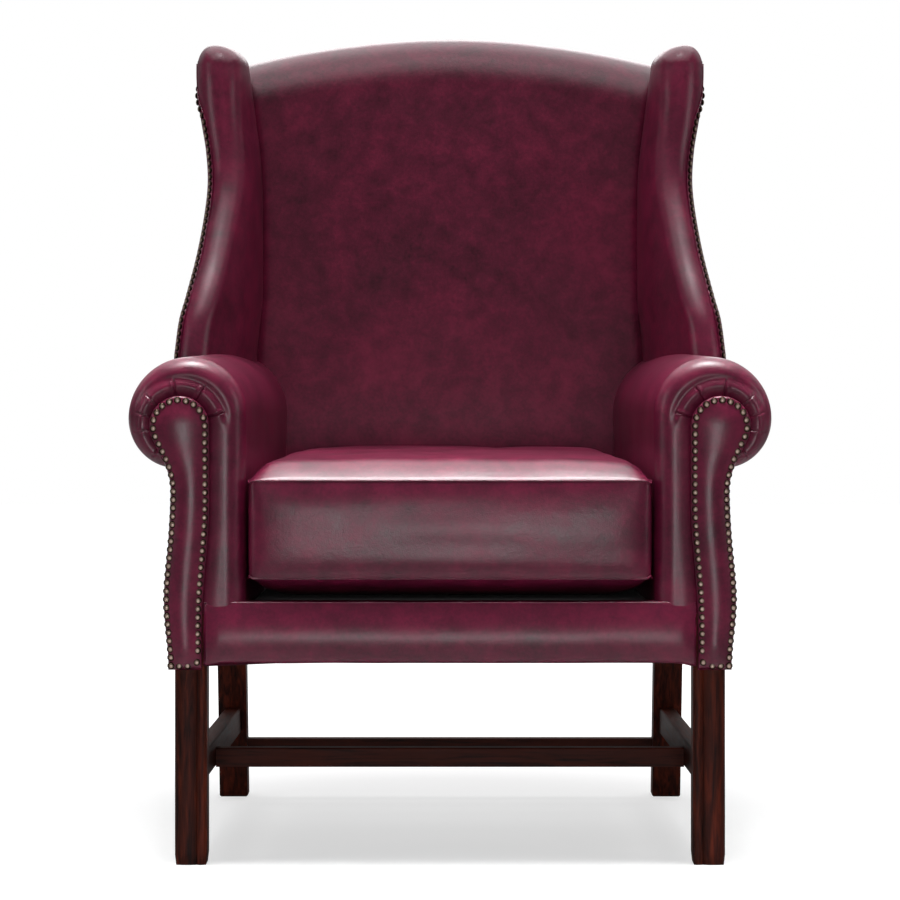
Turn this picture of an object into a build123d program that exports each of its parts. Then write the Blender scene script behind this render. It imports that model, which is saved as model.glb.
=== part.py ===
"""Wing-back armchair with scrolled arms, close-nailed leather and square moulded legs.

Millimetres, Z up. The floor is z = 0, the chair faces -Y, and +X is the right-hand side of
someone who stands in front of it. "left" is the side at -X. The origin lies on the floor under
the middle of the chair. Depths are measured backwards from the front of the arm facings.
"""
import os
from math import acos, asin, atan2, cos, degrees, hypot, pi, radians, sin, sqrt, tan

from build123d import *

os.makedirs("parts", exist_ok=True)

# Seat frame
front_half_width = 342.0
rear_half_width = 329.0
leg_size = 40.0
leg_set_back = 6.0
rear_leg_depth = 592.0
rear_foot_run = 62.0
seat_rail_bottom = 255.0
seat_rail_height = 57.0
seat_rail_thickness = 32.0
rail_set_back = 10.0
rail_end_trim = 1.5
dowel_diameter = 10.0
dowel_length = 50.0
dowel_spacing = 24.0
dowel_stagger = 6.0
corner_block_leg = 62.0
corner_block_height = 38.0
screw_diameter = 4.5
screw_length = 40.0
screw_head_diameter = 9.0
screw_head_height = 3.0

# Front leg moulding
moulding_depth = 2.4
moulding_field_width = 17.0
moulding_quirk_width = 4.0
moulding_bead_width = 5.0
leg_chamfer = 2.0

# Stretchers
side_stretcher_top = 130.0
side_stretcher_height = 34.0
side_stretcher_thickness = 22.0
cross_stretcher_top = 119.0
cross_stretcher_height = 25.0
cross_stretcher_thickness = 20.0
cross_stretcher_depth = 245.0
rear_stretcher_top = 84.0
rear_stretcher_height = 26.0
rear_stretcher_thickness = 20.0
tenon_length = 16.0
tenon_shoulder = 5.0
tenon_clearance = 0.2
stretcher_edge = 1.5

# Back
back_rake = 10.2
post_depth = 40.0
post_top_half_width = 318.0
post_width = 40.0
crest_height = 1084.0
crest_rise = 39.0
crest_half_width = 297.0
crest_rail_height = 96.0
crest_rail_thickness = 34.0
crest_roll_radius = 44.0
crest_padding = 18.0
back_pad_front = 112.0
back_crown = 8.0
back_webbing_reach = 290.0
back_webbing_width = 50.0
back_webbing_thickness = 1.8
back_webbing_count = 6
lower_rail_height = 60.0
lower_rail_thickness = 30.0
lower_rail_bottom = 356.0

# Arms
arm_inner_front = 251.0
arm_inner_rear = 224.0
arm_top_front = 631.5
arm_top_rear = 634.5
roll_centre_x = 330.0
roll_radius = 69.5
roll_rear_inset = 13.0
arm_front_round = 18.0
arm_lining_x = 312.0
arm_rear_depth = 672.0
arm_rail_width = 50.0
arm_rail_height = 30.0
arm_rail_bottom = 505.0
arm_post_depth = 34.0
arm_post_set_back = 14.0

# Wings
wing_base = 632.0
wing_top_drop = 20.0
wing_top = crest_height - wing_top_drop
wing_reach = 295.0
wing_flare = 47.0
wing_root = 63.0
wing_roll_radius = 22.0
wing_dome = 20.0
wing_frame_inset = 10.0
wing_board = 16.0
wing_tuck = 80.0

# Leather, pads and seat
leather = 2.0
pad_gap = 0.3
facing_thickness = 6.0
facing_margin = 5.5
outside_panel = 8.0
outside_wing_leather = 2.4
outside_back_leather = 3.0
deck_top = 327.0
deck_pad_thickness = 6.5
rail_cover_bottom = 253.0
rail_cover_half_width = 305.5
rail_pad_reach = 20.0
rail_crown = 4.0
rail_pad_front = 4.0
facing_bottom = 243.0
outside_belly = 5.5
dust_cover_thickness = 1.0
spring_wire = 3.8
spring_count = 6
spring_bends = 24
spring_half_width = 26.0
spring_pitch = 22.0
clip_width = 24.0
clip_length = 10.0
clip_back = 3.0
clip_thickness = 1.2

# Seat cushion
cushion_front_half = 246.0
cushion_rear_half = 219.0
cushion_front_depth = 6.0
cushion_seam_height = 477.6
cushion_front_bottom = 342.0
cushion_crown = 25.0
cushion_draw_in = 3.5
cushion_corner = 14.0
cushion_back_gap = 6.0
core_slack = 0.2
zip_length = 400.0
zip_tape_width = 24.0
zip_tape_thickness = 0.8
zip_chain_width = 5.0
zip_chain_thickness = 1.4
zip_height = 412.0
slider_length = 12.0
slider_width = 9.0
slider_thickness = 2.6
slider_gap = 0.3
pull_length = 26.0
pull_width = 6.0
pull_thickness = 1.2
zip_end_margin = 20.0
slider_park = zip_length / 2 - zip_end_margin

# Nails
nail_head_diameter = 9.5
nail_head_height = 3.2
nail_shank_diameter = 1.6
nail_shank_length = 5.0
nail_pitch = 10.26
nail_arch_x = 336.4
nail_arch_z = 545.9
nail_arch_radius = 31.9
wing_nail_turn = 30.0
back_nail_inset = 7.0
back_nail_edge = 4.5
cut_overrun = 5.0
contact_gap = 0.2
edge_steps = 4
dome_turn = 78.0
facing_inner_low = 28.7
facing_waist = 455.0
facing_foot = 300.0
neck_angle = 205.0
wing_hem_turn = 12.0
back_half_steps = 4

# Shares along the wing, from its base to its top
wing_level_shares = (0.0, 0.11, 0.18, 0.32, 0.465, 0.56, 0.66, 0.74, 0.82, 0.89, 0.953)
wing_reach_shares = (1.0, 0.976, 0.936, 0.84, 0.75, 0.705, 0.681, 0.677, 0.681, 0.685, 0.676)
wing_flare_shares = (1.0, 0.90, 0.74, 0.49, 0.30, 0.235, 0.24, 0.38, 0.60, 0.73, 0.79)
wing_root_shares = (0.916, 0.968, 1.0, 0.99, 0.959, 0.91, 0.852, 0.78, 0.68, 0.55, 0.41)
wing_frame_levels = 9

# Shares up the outside of the arm, and how far it bellies out there
outside_height_shares = (0.0, 0.29, 0.54, 0.86, 1.0)
outside_out_shares = (0.0, 1.0, 0.3, -0.6, -0.3)
nail_edge_share = 0.7

# Share of the back's crown that is gone at its side edges
back_flat_share = 0.8

# Shares of the cushion's depth, its crown, its bottom lift and its draw-in
cushion_depth_shares = (0.0, 0.02, 0.06, 0.13, 0.25, 0.5, 0.75, 0.92)
cushion_crown_shares = (0.1, 0.24, 0.48, 0.78, 0.94, 1.0, 0.97, 0.88)
cushion_lift_shares = (1.0, 0.6, 0.2, 0.0, 0.0, 0.0, 0.0, 0.0)
cushion_draw_shares = (0.0, 0.15, 0.4, 0.7, 0.95, 1.0, 0.8, 0.4)
cushion_rear_crown_share = 0.8
corner_share = 0.293

# Shares of the cushion's half-width and of its crown, where the crown flattens out
crown_flat_share = 0.62
crown_edge_share = 0.9
crown_bend_share = 0.86
crown_rise_share = 0.56

# Values that follow
rake = radians(back_rake)
seat_rail_top = seat_rail_bottom + seat_rail_height
back_plane_depth = rear_leg_depth + leg_size
back_plane_top = back_plane_depth + (crest_height - seat_rail_bottom) * tan(rake)
crest_roll_forward = back_pad_front - crest_roll_radius
crest_roll_rise = crest_height - seat_rail_bottom - crest_roll_radius - crest_roll_forward * sin(rake)
crest_top_run = crest_roll_rise / cos(rake) + crest_roll_radius
rear_nail_depth = back_plane_depth + (crest_top_run - back_nail_inset) * sin(rake)
rear_most = rear_nail_depth + (outside_back_leather + nail_head_height) * cos(rake)
front_y = -(rear_most - nail_head_height) / 2
arch_radius = (crest_half_width**2 + crest_rise**2) / (2 * crest_rise)
leg_front = leg_set_back
leg_rear = leg_set_back + leg_size
rail_front = leg_front + rail_set_back
deck_pad_bottom = deck_top - leather - deck_pad_thickness
wing_height = wing_top - wing_base


def at(depth):
    """The y of a place that lies this far behind the front of the facings."""
    return front_y + depth


def back_depth(height):
    """Depth of the outside-back plane at a height above the seat rails."""
    return back_plane_depth + (height - seat_rail_bottom) * tan(rake)


def post_outer(height):
    """Half-width over the back posts, which close in a little towards the crest."""
    share = (height - seat_rail_bottom) / (crest_height - seat_rail_bottom)
    return rear_half_width + (post_top_half_width - rear_half_width) * share


def side_shift(depth):
    """How far the side of the chair has closed in at this depth."""
    return (front_half_width - rear_half_width) * (depth - leg_rear) / (rear_leg_depth - leg_rear)


# Working planes of the raked back: x across, y up the rake, z forwards out of the back
back_plane = Plane(
    origin=(0, at(back_plane_depth), seat_rail_bottom),
    x_dir=(1, 0, 0),
    z_dir=(0, -cos(rake), sin(rake)),
)


def back_section_plane(x):
    """A plane across the back at x, with its x forwards and its y up the rake."""
    return Plane(
        origin=(x, at(back_plane_depth), seat_rail_bottom),
        x_dir=(0, -cos(rake), sin(rake)),
        z_dir=(-1, 0, 0),
    )


def run_at(height, forward):
    """Distance up the rake of a point at this height and this far forward of the back plane."""
    return (height - seat_rail_bottom - forward * sin(rake)) / cos(rake)


def arch_run(x):
    """Distance up the rake of the crest line at x."""
    return crest_top_run - arch_radius + sqrt(arch_radius**2 - x**2)


def upright(depth):
    """A plane that faces forwards at this depth, with x across and y up."""
    return Plane(origin=(0, at(depth), 0), x_dir=(1, 0, 0), z_dir=(0, -1, 0))


def save(name, label):
    """Label a finished piece and write it to its own file."""
    name.part.label = label
    export_step(name.part, "parts/" + label + ".step")


def save_pair(piece, stem):
    """Write a left-hand piece and its mirror image."""
    with BuildPart() as twin:
        mirror(piece.part, about=Plane.YZ)
    save(piece, stem + "_left")
    save(twin, stem + "_right")


def box_between(low, high, mode=Mode.ADD):
    """A box from one corner to the other."""
    size = [b - a for a, b in zip(low, high)]
    middle = [(a + b) / 2 for a, b in zip(low, high)]
    with Locations(tuple(middle)):
        Box(*size, mode=mode)


def rectangle_loft(levels):
    """A ruled loft through rectangles, each given as (height, x low, x high, y low, y high)."""
    sections = []
    for height, x_low, x_high, y_low, y_high in levels:
        with BuildSketch(Plane.XY.offset(height)) as level:
            with Locations(((x_low + x_high) / 2, (y_low + y_high) / 2)):
                Rectangle(x_high - x_low, y_high - y_low)
        sections.append(level.sketch)
    loft(sections, ruled=True)


def bar_between(start, end, thickness, bottom, top, mode=Mode.ADD):
    """A level bar along the line from start to end in plan, square to it in section."""
    length = hypot(end[0] - start[0], end[1] - start[1])
    turn = degrees(atan2(end[1] - start[1], end[0] - start[0]))
    middle = ((start[0] + end[0]) / 2, (start[1] + end[1]) / 2, (bottom + top) / 2)
    with Locations(Location(middle, (0, 0, turn))):
        Box(length, thickness, top - bottom, mode=mode)


# Seat frame

front_leg_x = -(front_half_width - leg_size / 2)
rear_leg_x = -(rear_half_width - leg_size / 2)
side_rail_front = (-(front_half_width - seat_rail_thickness / 2), at(leg_rear))
side_rail_rear = (-(rear_half_width - seat_rail_thickness / 2), at(rear_leg_depth))
side_rail_run = (side_rail_rear[0] - side_rail_front[0], side_rail_rear[1] - side_rail_front[1], 0)
rail_middle = seat_rail_bottom + seat_rail_height / 2
cross_rail_depth = rail_front + seat_rail_thickness / 2
rear_rail_depth = rear_leg_depth + leg_size / 2


def dowel_places():
    """Middle of each dowel on the left side, two in every rail joint, as planes square to it."""
    joints = (
        ((-(front_half_width - leg_size), at(cross_rail_depth)), (1, 0, 0), -dowel_stagger),
        (side_rail_front, side_rail_run, dowel_stagger),
        (side_rail_rear, side_rail_run, dowel_stagger),
        ((-(rear_half_width - leg_size), at(rear_rail_depth)), (1, 0, 0), -dowel_stagger),
    )
    places = []
    for joint, direction, stagger in joints:
        for side in (-1, 1):
            height = rail_middle + stagger + side * dowel_spacing / 2
            places.append(Plane(origin=(joint[0], joint[1], height), z_dir=direction))
    return places


def mirrored(plane):
    """The same place on the right-hand side."""
    origin = (-plane.origin.X, plane.origin.Y, plane.origin.Z)
    return Plane(origin=origin, z_dir=(-plane.z_dir.X, plane.z_dir.Y, plane.z_dir.Z))


def dowels(places, clearance, mode):
    """Dowels at the places, or their holes when there is a clearance."""
    with Locations(*[plane.location for plane in places]):
        Cylinder(dowel_diameter / 2 + clearance, dowel_length + 2 * clearance, mode=mode)


def stretcher_line(depth):
    """The x of the side stretcher's middle at this depth."""
    share = (depth - leg_rear) / (rear_leg_depth - leg_rear)
    return front_leg_x + (rear_leg_x - front_leg_x) * share


def rear_leg_front(height):
    """Depth of the raked rear leg's front face at a height below the seat."""
    return rear_leg_depth + rear_foot_run * (1 - height / seat_rail_bottom)


side_stretcher_bottom = side_stretcher_top - side_stretcher_height
cross_stretcher_bottom = cross_stretcher_top - cross_stretcher_height
rear_stretcher_bottom = rear_stretcher_top - rear_stretcher_height
rear_stretcher_depth = rear_leg_front(rear_stretcher_top - rear_stretcher_height / 2) + leg_size / 2
side_tenon_depth = rear_leg_front(side_stretcher_top - side_stretcher_height / 2) + tenon_length
cross_bar_reach = -stretcher_line(cross_stretcher_depth)


def side_tenon(clearance, mode):
    """The side stretcher's line with its tenons, made thinner by the shoulders."""
    start = (stretcher_line(leg_rear - tenon_length), at(leg_rear - tenon_length - clearance))
    end = (stretcher_line(side_tenon_depth), at(side_tenon_depth + clearance))
    thickness = side_stretcher_thickness - 2 * tenon_shoulder + 2 * clearance
    bottom = side_stretcher_bottom + tenon_shoulder - clearance
    top = side_stretcher_top - tenon_shoulder + clearance
    bar_between(start, end, thickness, bottom, top, mode)


def cross_tenon(reach, depth, thickness, bottom, top, clearance, mode):
    """A tenon that runs right across the chair, for the cross and the rear stretcher."""
    half = thickness / 2 - tenon_shoulder + clearance
    low = (-reach - clearance, at(depth) - half, bottom + tenon_shoulder - clearance)
    high = (reach + clearance, at(depth) + half, top - tenon_shoulder + clearance)
    box_between(low, high, mode)


def cross_bar_tenon(clearance, mode):
    """The cross stretcher's tenons, which end in the middle of the side stretchers."""
    bottom, top = cross_stretcher_bottom, cross_stretcher_top
    depth, thickness = cross_stretcher_depth, cross_stretcher_thickness
    cross_tenon(cross_bar_reach, depth, thickness, bottom, top, clearance, mode)


def rear_bar_tenon(clearance, mode):
    """The rear stretcher's tenons, which go into the rear legs."""
    reach = rear_half_width - leg_size + tenon_length
    bottom, top = rear_stretcher_bottom, rear_stretcher_top
    cross_tenon(reach, rear_stretcher_depth, rear_stretcher_thickness, bottom, top, clearance, mode)


def rail_beside(half_length, depth, thickness, bottom, top):
    """A plain bar across the chair, from half_length at the left to half_length at the right."""
    low = (-half_length, at(depth) - thickness / 2, bottom)
    high = (half_length, at(depth) + thickness / 2, top)
    box_between(low, high)


left_dowels = dowel_places()
right_dowels = [mirrored(plane) for plane in left_dowels]

with BuildPart() as front_leg_blank:
    box_between(
        (-front_half_width, at(leg_front), 0),
        (-(front_half_width - leg_size), at(leg_rear), seat_rail_top),
    )
    chamfer(front_leg_blank.faces().sort_by(Axis.Z)[0].edges(), leg_chamfer)

with BuildPart() as front_leg:
    add(front_leg_blank.part)
    field_edge = -front_half_width + moulding_field_width
    bead_edge = -(front_half_width - leg_size) - moulding_bead_width
    for quirk_edge in (field_edge, bead_edge - moulding_quirk_width):
        box_between(
            (quirk_edge, at(leg_front) - cut_overrun, -cut_overrun),
            (quirk_edge + moulding_quirk_width, at(leg_front) + moulding_depth, facing_bottom),
            Mode.SUBTRACT,
        )
    side_tenon(tenon_clearance, Mode.SUBTRACT)
    dowels(left_dowels[:4], tenon_clearance, Mode.SUBTRACT)
save_pair(front_leg, "front_leg")

crest_rail_run = arch_run(post_top_half_width) - crest_padding - crest_rail_height / 2

with BuildPart() as rear_leg_blank:
    rectangle_loft(
        (height, -outer, -(outer - post_width), at(back) - post_depth, at(back))
        for height, outer, back in (
            (0, rear_half_width, back_plane_depth + rear_foot_run),
            (seat_rail_bottom, rear_half_width, back_plane_depth),
            (crest_height, post_outer(crest_height), back_depth(crest_height)),
        )
    )
    post_end = (back_plane * Pos(0, crest_rail_run, 0)).position
    split(bisect_by=Plane(post_end, x_dir=(1, 0, 0), z_dir=back_plane.y_dir), keep=Keep.BOTTOM)
    chamfer(rear_leg_blank.faces().sort_by(Axis.Z)[0].edges(), leg_chamfer)

rear_leg_twin = mirror(rear_leg_blank.part, about=Plane.YZ)

with BuildPart() as rear_leg:
    add(rear_leg_blank.part)
    side_tenon(tenon_clearance, Mode.SUBTRACT)
    rear_bar_tenon(tenon_clearance, Mode.SUBTRACT)
    dowels(left_dowels[4:], tenon_clearance, Mode.SUBTRACT)
save_pair(rear_leg, "rear_leg")

with BuildPart() as side_stretcher:
    bar_between(
        (stretcher_line(leg_rear - leg_size / 2), at(leg_rear - leg_size / 2)),
        (stretcher_line(side_tenon_depth), at(side_tenon_depth)),
        side_stretcher_thickness,
        side_stretcher_bottom,
        side_stretcher_top,
    )
    top_edges = side_stretcher.faces().sort_by(Axis.Z)[-1].edges().sort_by(SortBy.LENGTH)[-2:]
    chamfer(top_edges, stretcher_edge)
    add(front_leg_blank.part, mode=Mode.SUBTRACT)
    add(rear_leg_blank.part, mode=Mode.SUBTRACT)
    side_tenon(0, Mode.ADD)
    cross_bar_tenon(tenon_clearance, Mode.SUBTRACT)
save_pair(side_stretcher, "side_stretcher")

with BuildPart() as cross_stretcher:
    rail_beside(
        cross_bar_reach - side_stretcher_thickness / 2,
        cross_stretcher_depth,
        cross_stretcher_thickness,
        cross_stretcher_bottom,
        cross_stretcher_top,
    )
    chamfer(cross_stretcher.edges().filter_by(Axis.X).group_by(Axis.Z)[-1], stretcher_edge)
    add(side_stretcher.part, mode=Mode.SUBTRACT)
    add(mirror(side_stretcher.part, about=Plane.YZ, mode=Mode.PRIVATE), mode=Mode.SUBTRACT)
    cross_bar_tenon(0, Mode.ADD)
save(cross_stretcher, "cross_stretcher")

with BuildPart() as rear_stretcher:
    rail_beside(
        rear_half_width - leg_size,
        rear_stretcher_depth,
        rear_stretcher_thickness,
        rear_stretcher_bottom,
        rear_stretcher_top,
    )
    chamfer(rear_stretcher.edges().filter_by(Axis.X).group_by(Axis.Z)[-1], stretcher_edge)
    rear_bar_tenon(0, Mode.ADD)
save(rear_stretcher, "rear_stretcher")

with BuildPart() as front_seat_rail:
    front_rail_reach = front_half_width - leg_size
    rail_beside(front_rail_reach, cross_rail_depth, seat_rail_thickness, seat_rail_bottom, seat_rail_top)
    dowels(left_dowels[:2] + right_dowels[:2], tenon_clearance, Mode.SUBTRACT)
save(front_seat_rail, "front_seat_rail")

with BuildPart() as rear_seat_rail:
    rear_rail_reach = rear_half_width - leg_size
    rail_beside(rear_rail_reach, rear_rail_depth, seat_rail_thickness, seat_rail_bottom, seat_rail_top)
    add(rear_leg_blank.part, mode=Mode.SUBTRACT)
    add(rear_leg_twin, mode=Mode.SUBTRACT)
    dowels(left_dowels[6:] + right_dowels[6:], tenon_clearance, Mode.SUBTRACT)
save(rear_seat_rail, "rear_seat_rail")

with BuildPart() as side_seat_rail:
    rail_end = Vector(*side_rail_rear) + Vector(*side_rail_run).normalized() * rail_end_trim
    rail_start = Vector(*side_rail_front) - Vector(*side_rail_run).normalized() * rail_end_trim
    bar_between(
        (rail_start.X, rail_start.Y),
        (rail_end.X, rail_end.Y),
        seat_rail_thickness,
        seat_rail_bottom,
        seat_rail_top,
    )
    add(front_leg_blank.part, mode=Mode.SUBTRACT)
    add(rear_leg_blank.part, mode=Mode.SUBTRACT)
    dowels(left_dowels[2:6], tenon_clearance, Mode.SUBTRACT)
save_pair(side_seat_rail, "side_seat_rail")

with BuildPart() as rail_dowels:
    dowels(left_dowels + right_dowels, 0, Mode.ADD)
save(rail_dowels, "rail_dowels")

block_bottom = rail_middle - corner_block_height / 2
front_corner = (-(front_half_width - seat_rail_thickness), at(rail_front + seat_rail_thickness))
rear_corner = (-(rear_half_width - seat_rail_thickness), at(rear_rail_depth - seat_rail_thickness / 2))

with BuildPart() as corner_blocks:
    for corner, turn in ((front_corner, 1), (rear_corner, -1)):
        with BuildSketch(Plane.XY.offset(block_bottom)):
            with BuildLine():
                Polyline(
                    (corner[0] - contact_gap, corner[1]),
                    (corner[0] + corner_block_leg, corner[1]),
                    (corner[0] - contact_gap, corner[1] + turn * corner_block_leg),
                    close=True,
                )
            make_face()
        extrude(amount=corner_block_height)
    add(side_seat_rail.part, mode=Mode.SUBTRACT)
    add(rear_leg_blank.part, mode=Mode.SUBTRACT)
    mirror(about=Plane.YZ)
save(corner_blocks, "corner_blocks")

with BuildPart() as corner_block_screws:
    for corner, turn in ((front_corner, 1), (rear_corner, -1)):
        face_middle = (corner[0] + corner_block_leg / 2, corner[1] + turn * corner_block_leg / 2)
        inward = Plane(origin=(*face_middle, rail_middle), x_dir=(1, -turn, 0), z_dir=(1, turn, 0))
        for side in (-1, 1):
            place = (side * corner_block_leg / 4, 0)
            height_shift = -side * dowel_stagger
            level = inward.move(Location((0, 0, height_shift)))
            with BuildSketch(level):
                with Locations(place):
                    Circle(screw_diameter / 2)
            extrude(amount=-screw_length)
            with BuildSketch(level):
                with Locations(place):
                    Circle(screw_head_diameter / 2)
            extrude(amount=screw_head_height)
    mirror(about=Plane.YZ)
save(corner_block_screws, "corner_block_screws")

# Back frame

post_front = post_depth * cos(rake)
web_room = back_webbing_thickness + pad_gap
back_pad_rear = post_front + web_room

with BuildPart() as back_lower_rail:
    rail_run = run_at(lower_rail_bottom, 0)
    with BuildSketch(back_plane.offset((post_front - lower_rail_thickness) / 2)):
        with Locations((0, rail_run + lower_rail_height / 2)):
            Rectangle(2 * (rear_half_width - post_width / 2), lower_rail_height)
    extrude(amount=lower_rail_thickness)
    add(rear_leg_blank.part, mode=Mode.SUBTRACT)
    add(rear_leg_twin, mode=Mode.SUBTRACT)
save(back_lower_rail, "back_lower_rail")


def arch_outline(half_width_low, half_width_high, run_low, lowered):
    """A face on the back plane with straight sides and the crest's arched top."""
    with BuildSketch(back_plane) as outline:
        with BuildLine():
            Polyline(
                (-half_width_high, arch_run(half_width_high) - lowered),
                (-half_width_low, run_low),
                (half_width_low, run_low),
                (half_width_high, arch_run(half_width_high) - lowered),
            )
            ThreePointArc(
                (half_width_high, arch_run(half_width_high) - lowered),
                (0, crest_top_run - lowered),
                (-half_width_high, arch_run(half_width_high) - lowered),
            )
        make_face()
    return outline.sketch


with BuildPart() as crest_rail:
    crest_face = arch_outline(
        post_top_half_width, post_top_half_width, crest_rail_run, crest_padding + contact_gap
    )
    crest_set_back = (post_front - crest_rail_thickness) / 2
    extrude(crest_face.moved(Location(back_plane.z_dir * crest_set_back)), amount=crest_rail_thickness)
save(crest_rail, "crest_rail")

with BuildPart() as back_webbing:
    web_low = rail_run + lower_rail_height + back_webbing_width
    web_high = crest_rail_run - back_webbing_width
    web_step = (web_high - web_low) / (back_webbing_count - 1)
    with BuildSketch(back_plane.offset(post_front)):
        for number in range(back_webbing_count):
            with Locations((0, web_low + number * web_step)):
                Rectangle(2 * back_webbing_reach, back_webbing_width)
    extrude(amount=back_webbing_thickness)
save(back_webbing, "back_webbing")

# Arms


def on_circle(x, y, radius, angle):
    """A point on a circle, with the angle in degrees."""
    return (x + radius * cos(radians(angle)), y + radius * sin(radians(angle)))


def arm_section(depth, inset, overrun):
    """The left arm's scroll across the chair: a roll on an inside wall, open on the outside."""
    share = depth / arm_rear_depth
    centre_x = -roll_centre_x + roll_rear_inset * share
    top = arm_top_front + (arm_top_rear - arm_top_front) * share
    inner = -arm_inner_front + (arm_inner_front - arm_inner_rear) * share - inset
    radius = roll_radius - inset
    centre_z = top - roll_radius
    inner_radius = inner - centre_x
    inner_z = top - inset - inner_radius
    lining = -arm_lining_x + roll_rear_inset * share - overrun
    bottom = seat_rail_top - overrun
    low_angle = -degrees(acos((lining - centre_x) / radius))
    low_turn = (low_angle - 180) / 2
    with BuildSketch(upright(depth)) as section:
        with BuildLine():
            roll_low = on_circle(centre_x, centre_z, radius, low_angle)
            roll_side = (centre_x - radius, centre_z)
            roll_top = (centre_x, centre_z + radius)
            Line((lining, bottom), roll_low)
            ThreePointArc(roll_low, on_circle(centre_x, centre_z, radius, low_turn), roll_side)
            ThreePointArc(roll_side, on_circle(centre_x, centre_z, radius, 135), roll_top)
            ThreePointArc(roll_top, on_circle(centre_x, inner_z, inner_radius, 45), (inner, inner_z))
            Line((inner, inner_z), (inner, bottom))
            Line((inner, bottom), (lining, bottom))
        make_face()
    return section.sketch


def arm_body(inset, overrun):
    """Sections of the left arm, from its rounded front edge to its rear end."""
    front = facing_thickness + inset
    edge = arm_front_round - inset
    sections = []
    for step in range(edge_steps + 1):
        turn = pi / 2 * step / edge_steps
        depth = front + edge * (1 - cos(turn))
        sections.append(arm_section(depth, inset + edge * (1 - sin(turn)), overrun))
    sections.append(arm_section(arm_rear_depth / 2, inset, overrun))
    sections.append(arm_section(arm_rear_depth - inset, inset, overrun))
    return sections


def wing_section(height, shares, inset, dome, tail):
    """The left wing in plan: a finger that comes forwards from the back post and flares out."""
    reach_share, flare_share, root_share = shares
    outer = post_outer(height)
    root_x = outer - wing_root * root_share
    rear = at(back_depth(height) - post_depth)
    front = rear - wing_reach * reach_share
    tip_x = outer + wing_flare * flare_share
    radius = wing_roll_radius - inset - dome
    tip = (-tip_x + wing_roll_radius, front + wing_roll_radius)
    squeeze = inset + dome * root_share / 2
    outer_rear = (-outer + squeeze, rear)
    inner_mid = (-root_x - squeeze, at(back_depth(height) - back_pad_front / cos(rake)))
    outer_angle = degrees(atan2(outer_rear[0] - tip[0] + radius, rear - tip[1]))
    inner_angle = degrees(atan2(inner_mid[0] - tip[0] - radius, inner_mid[1] - tip[1]))
    outer_tail = (outer_rear[0] + tail * tan(radians(outer_angle)), rear + tail)
    inner_tail = (-root_x - squeeze, rear + tail)
    outer_touch = on_circle(*tip, radius, 180 - outer_angle)
    nose = on_circle(*tip, radius, 270)
    inner_touch = on_circle(*tip, radius, -inner_angle)
    with BuildSketch(Plane.XY.offset(height)) as section:
        with BuildLine():
            Line(outer_tail, outer_touch)
            ThreePointArc(outer_touch, on_circle(*tip, radius, 225 - outer_angle / 2), nose)
            ThreePointArc(nose, on_circle(*tip, radius, -45 - inner_angle / 2), inner_touch)
            Line(inner_touch, inner_mid)
            Line(inner_mid, inner_tail)
            Line(inner_tail, outer_tail)
        make_face()
    return section.sketch


def wing_levels():
    """Height of each wing section, with its shares of reach, flare and root."""
    shares = list(zip(wing_reach_shares, wing_flare_shares, wing_root_shares))
    levels = [(wing_base - wing_tuck, shares[0])]
    for level_share, three in zip(wing_level_shares, shares):
        levels.append((wing_base + wing_height * level_share, three))
    return levels


def wing_body(inset, tail):
    """Sections of the left wing from inside the arm to its domed top."""
    levels = wing_levels()
    sections = [wing_section(height, shares, inset, 0, tail) for height, shares in levels]
    shoulder, shares = levels[-1]
    rise = wing_top - shoulder - inset
    for step in range(1, edge_steps + 1):
        turn = radians(dome_turn) * step / edge_steps
        dome = (wing_dome - inset) * (1 - cos(turn))
        sections.append(wing_section(shoulder + rise * sin(turn), shares, inset, dome, tail))
    return sections


with BuildPart() as arm_keep_out:
    loft(arm_body(-contact_gap, 0), ruled=True)

with BuildPart() as wing_outer:
    loft(wing_body(0, -web_room), ruled=True)

with BuildPart() as wing_keep_out:
    loft(wing_body(-contact_gap, 0), ruled=True)

with BuildPart() as wing_frame:
    board_share = (2 * wing_frame_inset + wing_board) / wing_root
    levels = wing_levels()[1:wing_frame_levels + 1]
    levels.insert(0, (arm_rail_bottom + arm_rail_height, levels[0][1]))
    boards = [
        wing_section(height, (*shares[:2], board_share), wing_frame_inset, 0, 0) for height, shares in levels
    ]
    loft(boards, ruled=True)
save_pair(wing_frame, "wing_frame")

arm_rail_low = (-roll_centre_x - arm_rail_width / 2, at(arm_post_set_back), arm_rail_bottom)
arm_rail_top = arm_rail_bottom + arm_rail_height
arm_rail_high = (-roll_centre_x + arm_rail_width / 2, at(arm_rear_depth - leather), arm_rail_top)
arm_post_low = (-front_half_width, at(arm_post_set_back), seat_rail_top)
arm_post_high = (-front_half_width + leg_size, at(arm_post_set_back + arm_post_depth), arm_rail_bottom)

with BuildPart() as arm_rail:
    box_between(arm_rail_low, arm_rail_high)
    add(rear_leg_blank.part, mode=Mode.SUBTRACT)
save_pair(arm_rail, "arm_rail")

with BuildPart() as arm_post:
    box_between(arm_post_low, arm_post_high)
save_pair(arm_post, "arm_post")

front_zone_low = (-front_half_width, at(-cut_overrun), seat_rail_bottom)
front_zone_high = (0, at(rail_front + rail_pad_reach + contact_gap), deck_top)

with BuildPart() as back_zone:
    with BuildSketch(back_plane.offset(-post_front)):
        with Locations((0, crest_rail_run / 2)):
            Rectangle(2 * (rear_half_width - post_width / 2), crest_rail_run)
    extrude(amount=post_front + back_pad_rear)


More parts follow.
